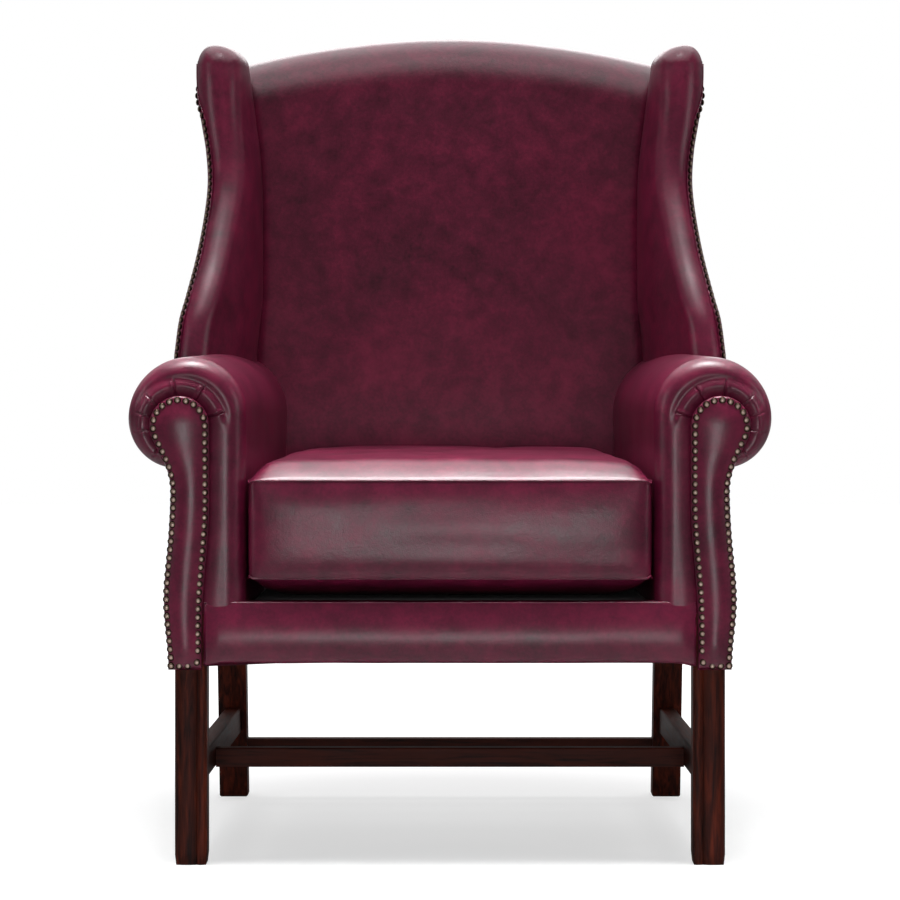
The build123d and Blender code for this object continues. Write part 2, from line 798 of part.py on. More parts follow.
def cut_arm_frame():
    """Take the room of the frame and of the front rail out of an arm's pad or cover."""
    box_between(front_zone_low, front_zone_high, Mode.SUBTRACT)
    box_between(arm_post_low, arm_post_high, Mode.SUBTRACT)
    box_between(arm_rail_low, arm_rail_high, Mode.SUBTRACT)
    add(rear_leg_blank.part, mode=Mode.SUBTRACT)
    add(wing_frame.part, mode=Mode.SUBTRACT)
    add(back_zone.part, mode=Mode.SUBTRACT)


with BuildPart() as arm_pad:
    loft(arm_body(leather + contact_gap, 0), ruled=True)
    cut_arm_frame()
save_pair(arm_pad, "arm_pad")

with BuildPart() as arm_cover:
    loft(arm_body(0, 0), ruled=True)
    loft(arm_body(leather, cut_overrun), ruled=True, mode=Mode.SUBTRACT)
    cut_arm_frame()
save_pair(arm_cover, "arm_cover")

# Outside arm panel and the keyhole facing on the arm's front

outside_top = arm_top_front - roll_radius - sqrt(
    roll_radius**2 - (front_half_width + outside_panel - roll_centre_x) ** 2
)


def outside_edge(low, proud, closed):
    """Points of the belly-and-waist line of the arm's side, from low up to the roll."""
    flat = -(front_half_width + outside_panel - proud) + closed
    points = [(flat, low)]
    for height_share, out_share in zip(outside_height_shares, outside_out_shares):
        height = rail_cover_bottom + (outside_top - rail_cover_bottom) * height_share
        points.append((flat - outside_belly * out_share, height))
    return points


with BuildPart() as outside_arm_cover:
    side_sections = []
    for depth in (facing_thickness, leg_rear, rear_leg_depth, back_plane_top):
        closed = side_shift(min(max(depth, leg_rear), rear_leg_depth))
        edge_points = outside_edge(rail_cover_bottom, 0, closed)[1:]
        with BuildSketch(upright(depth)) as side_section:
            with BuildLine():
                inside_x = -front_half_width - contact_gap + closed
                top_point = edge_points[-1]
                Spline(*edge_points)
                Polyline(top_point, (inside_x, top_point[1]), (inside_x, rail_cover_bottom), edge_points[0])
            make_face()
        side_sections.append(side_section.sketch)
    loft(side_sections, ruled=True)
    split(bisect_by=back_plane, keep=Keep.TOP)
    add(arm_keep_out.part, mode=Mode.SUBTRACT)
save_pair(outside_arm_cover, "outside_arm_cover")


def keyhole(margin):
    """The facing's outline, or the nail line inside it when the margin is zero."""
    radius = nail_arch_radius + margin
    centre = (-nail_arch_x, nail_arch_z)
    inner_high = -nail_arch_x + radius
    inner_low = -front_half_width + facing_inner_low + margin
    bottom = facing_bottom + facing_margin - margin
    outer = outside_edge(bottom, (facing_margin - margin) * nail_edge_share, 0)
    neck_low = outer[-2]
    neck_touch = on_circle(*centre, radius, neck_angle)
    neck_way = (cos(radians(neck_angle - 90)), sin(radians(neck_angle - 90)))
    Spline(*outer[:-1])
    Spline(neck_low, neck_touch, tangents=((0, 1), neck_way))
    ThreePointArc(neck_touch, on_circle(*centre, radius, 90), (inner_high, nail_arch_z))
    Line((inner_high, nail_arch_z), (inner_high, facing_waist))
    Spline(
        (inner_high, facing_waist),
        (inner_low, facing_foot),
        tangents=((0, -1), (0, -1)),
    )
    Line((inner_low, facing_foot), (inner_low, bottom))
    Line((inner_low, bottom), outer[0])


with BuildPart() as arm_facing:
    with BuildSketch(upright(facing_thickness)):
        with BuildLine():
            keyhole(facing_margin)
        make_face()
    extrude(amount=facing_thickness)
save_pair(arm_facing, "arm_facing")

# Front rail, deck and springs


def rail_profile(inset, overrun):
    """The front rail's padding from the side: a gentle crown in front and a roll on top."""
    front = rail_pad_front - leather + inset
    low = rail_cover_bottom + inset
    high = deck_top - inset
    rear = rail_front + rail_pad_reach + overrun
    middle = (front - rail_crown, (low + high) / 2)
    corner = rail_crown
    with BuildSketch(Plane.YZ) as profile:
        with BuildLine():
            Line((at(rail_front) + overrun, low), (at(front), low))
            ThreePointArc((at(front), low), (at(middle[0]), middle[1]), (at(front), high - corner))
            Line((at(front), high - corner), (at(front + corner), high))
            Line((at(front + corner), high), (at(rear), high))
            Line((at(rear), high), (at(rear), seat_rail_top))
            Line((at(rear), seat_rail_top), (at(rail_front) + overrun, seat_rail_top))
            Line((at(rail_front) + overrun, seat_rail_top), (at(rail_front) + overrun, low))
        make_face()
    return profile.sketch


def trim_legs():
    """Take the room of both front legs out of a piece."""
    box_between(
        (-front_half_width, at(leg_front), 0),
        (-(front_half_width - leg_size) + pad_gap, at(leg_rear), deck_top),
        Mode.SUBTRACT,
    )
    box_between(
        (front_half_width - leg_size - pad_gap, at(leg_front), 0),
        (front_half_width, at(leg_rear), deck_top),
        Mode.SUBTRACT,
    )


with BuildPart() as front_rail_pad:
    extrude(rail_profile(leather + contact_gap, 0), amount=front_half_width - leg_size - pad_gap, both=True)
save(front_rail_pad, "front_rail_pad")

with BuildPart() as front_rail_cover:
    extrude(rail_profile(0, 0), amount=rail_cover_half_width, both=True)
    extrude(rail_profile(leather, cut_overrun), amount=front_half_width, both=True, mode=Mode.SUBTRACT)
    rail_box_low = (-front_half_width, at(rail_front), seat_rail_bottom)
    rail_box_high = (front_half_width, at(rail_front + rail_pad_reach + cut_overrun), deck_top - leather)
    box_between(rail_box_low, rail_box_high, Mode.SUBTRACT)
    trim_legs()
save(front_rail_cover, "front_rail_cover")

deck_front = rail_front + rail_pad_reach + contact_gap
deck_rear = rear_leg_depth + leg_size / 2


def deck_half(depth):
    """Half-width between the arm covers at this depth."""
    share = depth / arm_rear_depth
    return arm_inner_front + (arm_inner_rear - arm_inner_front) * share - pad_gap


def deck_slab(bottom, thickness):
    """A flat piece that fills the seat between the arms."""
    with BuildSketch(Plane.XY.offset(bottom)) as outline:
        with BuildLine():
            Polyline(
                (-deck_half(deck_front), at(deck_front)),
                (deck_half(deck_front), at(deck_front)),
                (deck_half(deck_rear), at(deck_rear)),
                (-deck_half(deck_rear), at(deck_rear)),
                close=True,
            )
        make_face()
    extrude(outline.sketch, amount=thickness)


with BuildPart() as seat_deck_pad:
    deck_slab(deck_pad_bottom, deck_pad_thickness)
save(seat_deck_pad, "seat_deck_pad")

with BuildPart() as platform_cover:
    deck_slab(deck_top - leather, leather)
save(platform_cover, "platform_cover")

spring_plane = seat_rail_top + clip_thickness + spring_wire / 2
spring_start = rail_front + seat_rail_thickness - clip_length / 2
spring_length = spring_bends * spring_pitch
turn_radius = spring_pitch / 2
spring_places = [
    ((number - (spring_count - 1) / 2) * 2 * deck_half(deck_rear) / spring_count, 0)
    for number in range(spring_count)
]

with BuildPart() as one_spring:
    with BuildLine() as spring_path:
        for bend in range(spring_bends + 1):
            row = at(spring_start) + bend * spring_pitch
            side = 1 if bend % 2 == 0 else -1
            near = (-side * (spring_half_width - turn_radius), row, spring_plane)
            far = (side * (spring_half_width - turn_radius), row, spring_plane)
            Line(near, far)
            if bend < spring_bends:
                out = (side * spring_half_width, row + turn_radius, spring_plane)
                back = (far[0], row + spring_pitch, spring_plane)
                ThreePointArc(far, out, back)
    with BuildSketch(Plane(origin=spring_path.line @ 0, z_dir=(1, 0, 0))) as wire_section:
        Circle(spring_wire / 2)
    sweep(wire_section.sketch, path=spring_path.line)

with BuildPart() as seat_springs:
    with Locations(*spring_places):
        add(one_spring.part)
save(seat_springs, "seat_springs")

with BuildPart() as spring_clips:
    clip_height = spring_wire + 2 * clip_thickness
    for row, turn in ((spring_start, 1), (spring_start + spring_length, -1)):
        clip_low = min(row - turn * (spring_wire / 2 + clip_back), row + turn * clip_length / 2)
        clip_high = max(row - turn * (spring_wire / 2 + clip_back), row + turn * clip_length / 2)
        slot_low = min(row - turn * spring_wire / 2, row + turn * clip_length)
        slot_high = max(row - turn * spring_wire / 2, row + turn * clip_length)
        for place in spring_places:
            box_between(
                (place[0] - clip_width / 2, at(clip_low), seat_rail_top),
                (place[0] + clip_width / 2, at(clip_high), seat_rail_top + clip_height),
            )
            box_between(
                (place[0] - clip_width, at(slot_low), seat_rail_top + clip_thickness),
                (place[0] + clip_width, at(slot_high), seat_rail_top + clip_height - clip_thickness),
                Mode.SUBTRACT,
            )
save(spring_clips, "spring_clips")

# Wings

with BuildPart() as wing_pad:
    loft(wing_body(leather + contact_gap, -web_room), ruled=True)
    add(wing_frame.part, mode=Mode.SUBTRACT)
    add(arm_keep_out.part, mode=Mode.SUBTRACT)
    add(rear_leg_blank.part, mode=Mode.SUBTRACT)
save_pair(wing_pad, "wing_pad")

with BuildPart() as inside_wing_cover:
    add(wing_outer.part)
    loft(wing_body(leather, cut_overrun), ruled=True, mode=Mode.SUBTRACT)
    add(arm_keep_out.part, mode=Mode.SUBTRACT)
    add(rear_leg_blank.part, mode=Mode.SUBTRACT)
save_pair(inside_wing_cover, "inside_wing_cover")


def wing_outside_section(height, shares):
    """A strip of leather over the wing's outer side, from round its nose back past the post."""
    reach_share, flare_share, _ = shares
    outer = post_outer(height)
    rear = at(back_depth(height) - post_depth)
    front = rear - wing_reach * reach_share
    tip = (-(outer + wing_flare * flare_share) + wing_roll_radius, front + wing_roll_radius)
    inner_radius = wing_roll_radius + contact_gap
    outer_radius = inner_radius + outside_wing_leather
    slope = degrees(atan2(-outer - tip[0] + wing_roll_radius, rear - tip[1]))
    end_angle = 180 + wing_nail_turn + wing_hem_turn
    tail = at(back_depth(height)) + post_depth
    near_x = -outer - contact_gap
    far_x = near_x - outside_wing_leather
    with BuildSketch(Plane.XY.offset(height)) as section:
        with BuildLine():
            near_touch = on_circle(*tip, inner_radius, 180 - slope)
            near_end = on_circle(*tip, inner_radius, end_angle)
            far_touch = on_circle(*tip, outer_radius, 180 - slope)
            far_end = on_circle(*tip, outer_radius, end_angle)
            middle = (180 - slope + end_angle) / 2
            Polyline((near_x, tail), (near_x, rear), near_touch)
            ThreePointArc(near_touch, on_circle(*tip, inner_radius, middle), near_end)
            Line(near_end, far_end)
            ThreePointArc(far_end, on_circle(*tip, outer_radius, middle), far_touch)
            Polyline(far_touch, (far_x, rear), (far_x, tail), (near_x, tail))
        make_face()
    return section.sketch


with BuildPart() as outside_wing_cover:
    loft([wing_outside_section(height, shares) for height, shares in wing_levels()], ruled=True)
    split(bisect_by=back_plane, keep=Keep.TOP)
    add(arm_keep_out.part, mode=Mode.SUBTRACT)
save_pair(outside_wing_cover, "outside_wing_cover")

# Back pad and covers


def back_section(x, inset, overrun):
    """The padded back from the side at x: a crowned front face and a roll over the crest."""
    swell = back_crown * (1 - back_flat_share * (x / crest_half_width) ** 2)
    front = back_pad_front - inset
    top = arch_run(x) - inset
    under_crest = arch_run(x) - crest_padding - overrun
    rear = back_pad_rear - overrun
    edge = crest_roll_radius - inset
    low_front = run_at(deck_top + pad_gap, front) + inset - 2 * overrun
    low_rear = run_at(deck_top + pad_gap, rear) + inset - 2 * overrun
    shoulder = top - edge
    with BuildSketch(back_section_plane(x)) as section:
        with BuildLine():
            Line((rear, low_rear), (front, low_front))
            ThreePointArc(
                (front, low_front),
                (front + swell, (low_front + shoulder) / 2),
                (front, shoulder),
            )
            ThreePointArc((front, shoulder), on_circle(front - edge, shoulder, edge, 45), (front - edge, top))
            Line((front - edge, top), (inset - overrun, top))
            Line((inset - overrun, top), (inset - overrun, under_crest))
            Line((inset - overrun, under_crest), (rear, under_crest))
            Line((rear, under_crest), (rear, low_rear))
        make_face()
    return section.sketch


def back_body(inset, overrun):
    """Sections of the padded back from the left edge to the right edge."""
    reach = crest_half_width + overrun
    steps = 2 * back_half_steps
    return [back_section(reach * (step / back_half_steps - 1), inset, overrun) for step in range(steps + 1)]


arm_keep_out_twin = mirror(arm_keep_out.part, about=Plane.YZ)
wing_keep_out_twin = mirror(wing_keep_out.part, about=Plane.YZ)


def cut_wings_and_arms():
    """Take the room of both arms and both wings out of the back."""
    add(arm_keep_out.part, mode=Mode.SUBTRACT)
    add(arm_keep_out_twin, mode=Mode.SUBTRACT)
    add(wing_keep_out.part, mode=Mode.SUBTRACT)
    add(wing_keep_out_twin, mode=Mode.SUBTRACT)


with BuildPart() as back_pad:
    loft(back_body(leather + contact_gap, 0))
    cut_wings_and_arms()
save(back_pad, "back_pad")

with BuildPart() as inside_back_cover:
    loft(back_body(0, 0))
    loft(back_body(leather, cut_overrun), mode=Mode.SUBTRACT)
    cut_wings_and_arms()
save(inside_back_cover, "inside_back_cover")

with BuildPart() as outside_back_cover:
    low_run = run_at(seat_rail_bottom, 0)
    low_half = rear_half_width + outside_panel
    high_half = post_top_half_width + outside_wing_leather + contact_gap
    outside_face = arch_outline(low_half, high_half, low_run, 0)
    extrude(outside_face, amount=-outside_back_leather)
save(outside_back_cover, "outside_back_cover")

front_leg_twin = mirror(front_leg_blank.part, about=Plane.YZ)

with BuildPart() as dust_cover:
    dust_front_half = front_half_width - seat_rail_thickness / 2
    dust_rear_half = rear_half_width - seat_rail_thickness / 2
    with BuildSketch(Plane.XY.offset(seat_rail_bottom - dust_cover_thickness)):
        with BuildLine():
            Polyline(
                (-dust_front_half, at(cross_rail_depth)),
                (dust_front_half, at(cross_rail_depth)),
                (dust_rear_half, at(rear_rail_depth)),
                (-dust_rear_half, at(rear_rail_depth)),
                close=True,
            )
        make_face()
    extrude(amount=dust_cover_thickness)
    add(front_leg_blank.part, mode=Mode.SUBTRACT)
    add(front_leg_twin, mode=Mode.SUBTRACT)
    add(rear_leg_blank.part, mode=Mode.SUBTRACT)
    add(rear_leg_twin, mode=Mode.SUBTRACT)
save(dust_cover, "dust_cover")

# Seat cushion

cushion_rear_forward = back_pad_front + back_crown + cushion_back_gap
cushion_rear_plane = back_plane.offset(cushion_rear_forward)
cushion_rear_depth = back_plane_depth + run_at(cushion_seam_height, cushion_rear_forward) * sin(rake)
cushion_rear_depth -= cushion_rear_forward * cos(rake)
cushion_length = cushion_rear_depth - cushion_front_depth
cushion_bottom = deck_top + pad_gap


def crown_arc(half, edge, high, side):
    """The steeper part of the crown, beside the seam on one side."""
    seam_point = (side * half, edge)
    middle = (side * half * crown_bend_share, edge + (high - edge) * crown_rise_share)
    flat_point = (side * half * crown_flat_share, edge + (high - edge) * crown_edge_share)
    if side > 0:
        ThreePointArc(seam_point, middle, flat_point)
    else:
        ThreePointArc(flat_point, middle, seam_point)


def cushion_outline(plane, height_scale, half, bottom, seam, crown):
    """One section across the cushion: flat below, rounded low corners and a crowned top."""
    corner = cushion_corner
    base = plane.origin.Z
    levels = [(height - base) / height_scale for height in (bottom, bottom + corner, seam, seam + crown)]
    low, corner_high, edge, high = levels
    with BuildSketch(plane) as outline:
        with BuildLine():
            Line((-half + corner, low), (half - corner, low))
            ThreePointArc(
                (half - corner, low),
                (half - corner * corner_share, low + (corner_high - low) * corner_share),
                (half, corner_high),
            )
            Line((half, corner_high), (half, edge))
            crown_arc(half, edge, high, 1)
            ThreePointArc(
                (half * crown_flat_share, edge + (high - edge) * crown_edge_share),
                (0, high),
                (-half * crown_flat_share, edge + (high - edge) * crown_edge_share),
            )
            crown_arc(half, edge, high, -1)
            Line((-half, edge), (-half, corner_high))
            ThreePointArc(
                (-half, corner_high),
                (-half + corner * corner_share, low + (corner_high - low) * corner_share),
                (-half + corner, low),
            )
        make_face()
    return outline.sketch


def cushion_body(inset):
    """Sections of the cushion from its front face to its raked rear face."""
    sections = []
    tables = zip(cushion_depth_shares, cushion_crown_shares, cushion_lift_shares, cushion_draw_shares)
    for depth_share, crown_share, lift_share, draw_share in tables:
        half = cushion_front_half + (cushion_rear_half - cushion_front_half) * depth_share
        half -= cushion_draw_in * draw_share + inset
        bottom = cushion_bottom + (cushion_front_bottom - cushion_bottom) * lift_share + inset
        shift = inset if depth_share == 0 else 0
        depth = cushion_front_depth + cushion_length * depth_share + shift
        seam = cushion_seam_height - inset
        sections.append(cushion_outline(upright(depth), 1, half, bottom, seam, cushion_crown * crown_share))
    rear = cushion_rear_plane.offset(inset)
    seam = cushion_seam_height - inset
    crown = cushion_crown * cushion_rear_crown_share
    half = cushion_rear_half - inset
    sections.append(cushion_outline(rear, cos(rake), half, cushion_bottom + inset, seam, crown))
    return sections


with BuildPart() as cushion_cover:
    loft(cushion_body(0), ruled=True)
    loft(cushion_body(leather), ruled=True, mode=Mode.SUBTRACT)
save(cushion_cover, "cushion_cover")

with BuildPart() as cushion_core:
    loft(cushion_body(leather + core_slack), ruled=True)
save(cushion_core, "cushion_core")

zip_run = (zip_height - cushion_rear_plane.origin.Z) / cos(rake)

with BuildPart() as cushion_zip:
    for long, wide, start, thick in (
        (zip_length, zip_tape_width, contact_gap, zip_tape_thickness),
        (zip_length - zip_tape_width, zip_chain_width, zip_tape_thickness, zip_chain_thickness + contact_gap),
    ):
        with BuildSketch(cushion_rear_plane.offset(-start)):
            with Locations((0, zip_run)):
                Rectangle(long, wide)
        extrude(amount=-thick)
save(cushion_zip, "cushion_zip")

slider_base = contact_gap + zip_tape_thickness + slider_gap

with BuildPart() as zip_slider:
    with BuildSketch(cushion_rear_plane.offset(-slider_base)):
        with Locations((slider_park, zip_run)):
            Rectangle(slider_length, slider_width)
    extrude(amount=-slider_thickness)
    with BuildSketch(cushion_rear_plane.offset(-slider_base)):
        with Locations((slider_park, zip_run)):
            Rectangle(2 * slider_length, zip_chain_width + 2 * slider_gap)
    extrude(amount=-(zip_chain_thickness + slider_gap), mode=Mode.SUBTRACT)
    with BuildSketch(cushion_rear_plane.offset(-slider_base - slider_thickness)):
        with Locations((slider_park, zip_run - pull_length / 2)):
            Rectangle(pull_width, pull_length)
        with Locations((slider_park, zip_run - pull_length + pull_width)):
            Circle(pull_width / 4, mode=Mode.SUBTRACT)
    extrude(amount=-pull_thickness)
save(zip_slider, "zip_slider")

# Nails

with BuildPart() as one_nail:
    with BuildSketch(Plane.XZ):
        with BuildLine():
            rim = (nail_head_diameter / 2, 0)
            crown_top = (0, nail_head_height)
            dome_radius = (rim[0] ** 2 + nail_head_height**2) / (2 * nail_head_height)
            dome_half = asin(rim[0] / dome_radius) / 2
            shoulder_height = nail_head_height - dome_radius * (1 - cos(dome_half))
            shoulder_point = (dome_radius * sin(dome_half), shoulder_height)
            shank = nail_shank_diameter / 2
            Polyline(crown_top, (0, -nail_shank_length), (shank, -nail_shank_length), (shank, 0), rim)
            ThreePointArc(rim, shoulder_point, crown_top)
        make_face()
    revolve(axis=Axis.Z)


def nails_along(wire, plane, facing_way):
    """Nails spread evenly along a line drawn on a plane, with their heads facing one way."""
    count = round(wire.length / nail_pitch)
    ends = 0 if wire.is_closed else 1
    places = []
    for number in range(count + ends):
        point = plane.from_local_coords(wire.position_at(number / count))
        places.append(Plane(origin=point, z_dir=facing_way).location)
    return places


with BuildPart() as arm_nails:
    with BuildLine() as arm_nail_line:
        keyhole(0)
    with Locations(*nails_along(arm_nail_line.wire(), upright(0), (0, -1, 0))):
        add(one_nail.part)
save_pair(arm_nails, "arm_nails")


def wing_nail_point(height, shares):
    """Where the nail line stands on the outside of the wing's nose at this height."""
    reach_share, flare_share, _ = shares
    tip_x = post_outer(height) + wing_flare * flare_share - wing_roll_radius
    tip_y = at(back_depth(height) - post_depth) - wing_reach * reach_share + wing_roll_radius
    reach = wing_roll_radius + contact_gap + outside_wing_leather
    return (*on_circle(-tip_x, tip_y, reach, 180 + wing_nail_turn), height)


with BuildPart() as wing_nails:
    nail_levels = [level for level in wing_levels() if level[0] >= wing_base]
    with BuildLine() as wing_nail_line:
        Spline(*[wing_nail_point(height, shares) for height, shares in nail_levels])
    nail_way = (-cos(radians(wing_nail_turn)), -sin(radians(wing_nail_turn)), 0)
    with Locations(*nails_along(wing_nail_line.wire(), Plane.XY, nail_way)):
        add(one_nail.part)
save_pair(wing_nails, "wing_nails")

with BuildPart() as back_nails:
    nail_face = back_plane.offset(-outside_back_leather)
    with BuildLine() as back_nail_line:
        low_run = run_at(seat_rail_bottom, 0) + back_nail_inset
        low_x = rear_half_width - back_nail_edge
        high_x = post_top_half_width - back_nail_edge
        high_run = arch_run(post_top_half_width) - back_nail_inset
        Line((-low_x, low_run), (-high_x, high_run))
        ThreePointArc((-high_x, high_run), (0, crest_top_run - back_nail_inset), (high_x, high_run))
        Line((high_x, high_run), (low_x, low_run))
    with Locations(*nails_along(back_nail_line.wire(), nail_face, -back_plane.z_dir)):
        add(one_nail.part)
save(back_nails, "back_nails")
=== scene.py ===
# %% [markdown]
# # A wing-back armchair in burgundy leather
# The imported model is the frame: it gives the place and size of every piece. This script dresses it.
# Wood keeps its solids or gets a moulded leg over them, and each leather piece is modelled again as
# a soft closed form, because real leather over padding has no flat faces and no sharp edges.

# %% Load the frame
from math import acos, atan2, cos, degrees, exp, pi, radians, sin, sqrt, tan

import bmesh
import bpy
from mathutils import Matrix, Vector, noise


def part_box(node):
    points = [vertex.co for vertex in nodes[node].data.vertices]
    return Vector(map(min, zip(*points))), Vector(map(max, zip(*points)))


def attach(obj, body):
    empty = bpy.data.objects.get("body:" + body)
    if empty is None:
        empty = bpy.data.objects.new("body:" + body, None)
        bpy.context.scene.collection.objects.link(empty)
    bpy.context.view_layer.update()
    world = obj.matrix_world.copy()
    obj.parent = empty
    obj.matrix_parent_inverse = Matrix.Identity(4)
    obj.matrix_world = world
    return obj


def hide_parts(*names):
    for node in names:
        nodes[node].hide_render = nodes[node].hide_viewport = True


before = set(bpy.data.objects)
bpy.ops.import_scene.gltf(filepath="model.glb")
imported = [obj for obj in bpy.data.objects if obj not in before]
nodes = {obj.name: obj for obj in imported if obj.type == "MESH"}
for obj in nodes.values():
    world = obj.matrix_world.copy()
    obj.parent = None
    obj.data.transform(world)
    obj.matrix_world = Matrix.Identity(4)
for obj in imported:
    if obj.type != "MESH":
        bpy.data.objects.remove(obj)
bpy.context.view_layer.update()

# %% [markdown]
# ## Sizes
# All lengths are in metres. The chair faces -Y and stands on z = 0. Depths are measured backwards from
# the front of the arm facings, and heights from the floor, as an upholsterer would measure a frame.

# %% Driving sizes
mm = 0.001
front_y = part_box("arm_facing_left")[0][1]
rake = radians(10.2)
rail_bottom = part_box("front_seat_rail")[0][2]
rail_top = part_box("front_seat_rail")[1][2]
deck_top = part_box("platform_cover")[1][2]
back_plane_depth = 632 * mm
crest_height = 1084 * mm
crest_rise = 39 * mm
crest_half_width = 297 * mm
crest_roll = 44 * mm
pad_front = 112 * mm
pad_rear = 42 * mm
back_crown = 8 * mm
front_half_width = 342 * mm
rear_half_width = 329 * mm
post_top_half_width = 318 * mm
leg_rear_depth = 46 * mm
rear_leg_depth = 592 * mm


def at(depth):
    """The y of a place this far behind the facings."""
    return front_y + depth


def back_depth(height):
    """Depth of the raked outside-back plane at a height."""
    return back_plane_depth + (height - rail_bottom) * tan(rake)


def post_outer(height):
    """Half-width over the back posts at a height."""
    share = (height - rail_bottom) / (crest_height - rail_bottom)
    return rear_half_width + (post_top_half_width - rear_half_width) * share


def on_back(x, run, forward):
    """A point given across, up the rake, and forwards out of the outside back."""
    y = at(back_plane_depth) + run * sin(rake) - forward * cos(rake)
    return Vector((x, y, rail_bottom + run * cos(rake) + forward * sin(rake)))


def smooth(share):
    """Eases a share between 0 and 1."""
    share = min(max(share, 0.0), 1.0)
    return share * share * (3 - 2 * share)


def bell(distance, width):
    """1 at no distance and nearly 0 past twice the width."""
    return exp(-((distance / width) ** 2))


print("front of the facings at y =", round(front_y, 4))

# %% [markdown]
# ## A shaded value that takes part in sums
# Leather, wood and brass vary over their surface by small formulas. A class that wraps one node output
# lets those formulas be written as plain arithmetic, which is shorter and clearer than wiring nodes.


# %% The socket class
class Flow:
    """One output of a shader node: arithmetic on it adds Math nodes to the same tree."""

    def __init__(self, tree, socket=None):
        self.tree = tree
        self.socket = socket

    def node(self, kind, inputs=None, settings=None, out=0):
        """Any node: its settings are set first, then its sockets get values or links."""
        made = self.tree.nodes.new("ShaderNode" + kind)
        for name, value in (settings or {}).items():
            if name == "stops":
                ramp = made.color_ramp
                while len(ramp.elements) < len(value):
                    ramp.elements.new(0.5)
                for element, (place, color) in zip(ramp.elements, value):
                    element.position = place
                    element.color = color
            else:
                setattr(made, name, value)
        for name, value in (inputs or {}).items():
            if isinstance(value, Flow):
                self.tree.links.new(value.socket, made.inputs[name])
            else:
                made.inputs[name].default_value = value
        return Flow(self.tree, made.outputs[out])

    def math(self, operation, first, second=0.0):
        """One Math node."""
        return self.node("Math", {0: first, 1: second}, {"operation": operation})

    def __add__(self, other):
        return self.math("ADD", self, other)

    def __sub__(self, other):
        return self.math("SUBTRACT", self, other)

    def __mul__(self, other):
        return self.math("MULTIPLY", self, other)

    def __rsub__(self, other):
        return self.math("SUBTRACT", other, self)

    __radd__ = __add__
    __rmul__ = __mul__

    def axes(self):
        """The three parts of a vector."""
        made = self.node("SeparateXYZ", {0: self})
        return [Flow(self.tree, part) for part in made.socket.node.outputs]

    def clamp(self):
        """Kept between 0 and 1."""
        return self.node("Clamp", {0: self})

    def mix(self, low, high):
        """A colour between low, where this value is 0, and high, where it is 1."""
        return self.node("Mix", {0: self, 6: low, 7: high}, {"data_type": "RGBA"}, 2)

    def ramp(self, *stops):
        """A colour ramp over this value."""
        return self.node("ValToRGB", {0: self}, {"stops": stops})


def srgb(red, green, blue):
    """A colour from screen values of 0 to 255."""
    parts = []
    for value in (red, green, blue):
        share = value / 255
        parts.append(share / 12.92 if share <= 0.04045 else ((share + 0.055) / 1.055) ** 2.4)
    return (*parts, 1.0)


def new_material(name, **constants):
    """A material with its shader's fixed sockets set, its tree and the place of its pattern."""
    material = bpy.data.materials.new(name)
    material.use_nodes = True
    tree = material.node_tree
    shader = tree.nodes["Principled BSDF"]
    for socket, value in constants.items():
        shader.inputs[socket.replace("_", " ")].default_value = value
    start = Flow(tree)
    return material, shader, start, start.node("TexCoord", out=3)


def feed(shader, **flows):
    """Links flows to the shader's named sockets."""
    for name, flow in flows.items():
        shader.id_data.links.new(flow.socket, shader.inputs[name.replace("_", " ")])


def noise_flow(start, place, scale, detail=3.0, roughness=0.55, distortion=0.0):
    """A Noise texture's value."""
    sockets = {"Scale": scale, "Detail": detail, "Roughness": roughness, "Distortion": distortion}
    return start.node("TexNoise", {"Vector": place, **sockets})


print("shader helpers ready")

# %% [markdown]
# ## Burgundy antique leather
# Antique leather is dyed dark, then rubbed back by hand, so it is cloudy: plum shadows, redder rubbed
# patches and a fine pebbled grain. Three noises at hand-width, finger-width and grain size make the
# clouds, and a Voronoi pattern of 1.3 mm cells makes the grain in the bump.


# %% Leather
def make_leather(name):
    """Antique leather, cloudy from plum to a rubbed red."""
    material, shader, start, place = new_material(
        name, Specular_IOR_Level=0.44, Coat_Roughness=0.3, Coat_Weight=0.06
    )
    clouds = noise_flow(start, place, 8.0, 5.0, 0.62, 0.6)
    mottle = noise_flow(start, place, 40.0, 6.0, 0.68, 0.3)
    flecks = noise_flow(start, place, 230.0, 3.0)
    tone = (clouds * 0.42 + mottle * 0.58 + (flecks - 0.5) * 0.22).clamp()
    plum = srgb(66, 14, 33)
    wine = srgb(96, 19, 48)
    rubbed = srgb(124, 25, 60)
    color = tone.ramp((0.32, plum), (0.50, wine), (0.70, rubbed))
    rough = 0.32 + (mottle - 0.5) * 0.14
    cells = start.node("TexVoronoi", {"Vector": place, "Scale": 760.0}, {"feature": "SMOOTH_F1"})
    creases = noise_flow(start, place, 95.0, 3.0, 0.5, 0.2)
    height = cells * 0.35 + creases * 0.75 + mottle * 0.9
    bump = start.node("Bump", {"Height": height, "Strength": 0.22, "Distance": 0.0012})
    feed(shader, Base_Color=color, Roughness=rough, Normal=bump)
    return material


leather = make_leather("burgundy_leather")
print("material:", leather.name)

# %% [markdown]
# ## Polished mahogany, brass and cloth
# The legs are stained nearly black-brown with red showing along the grain. The grain runs along each
# stick, so the same noise is stretched along Z for legs, and along X or Y for stretchers.


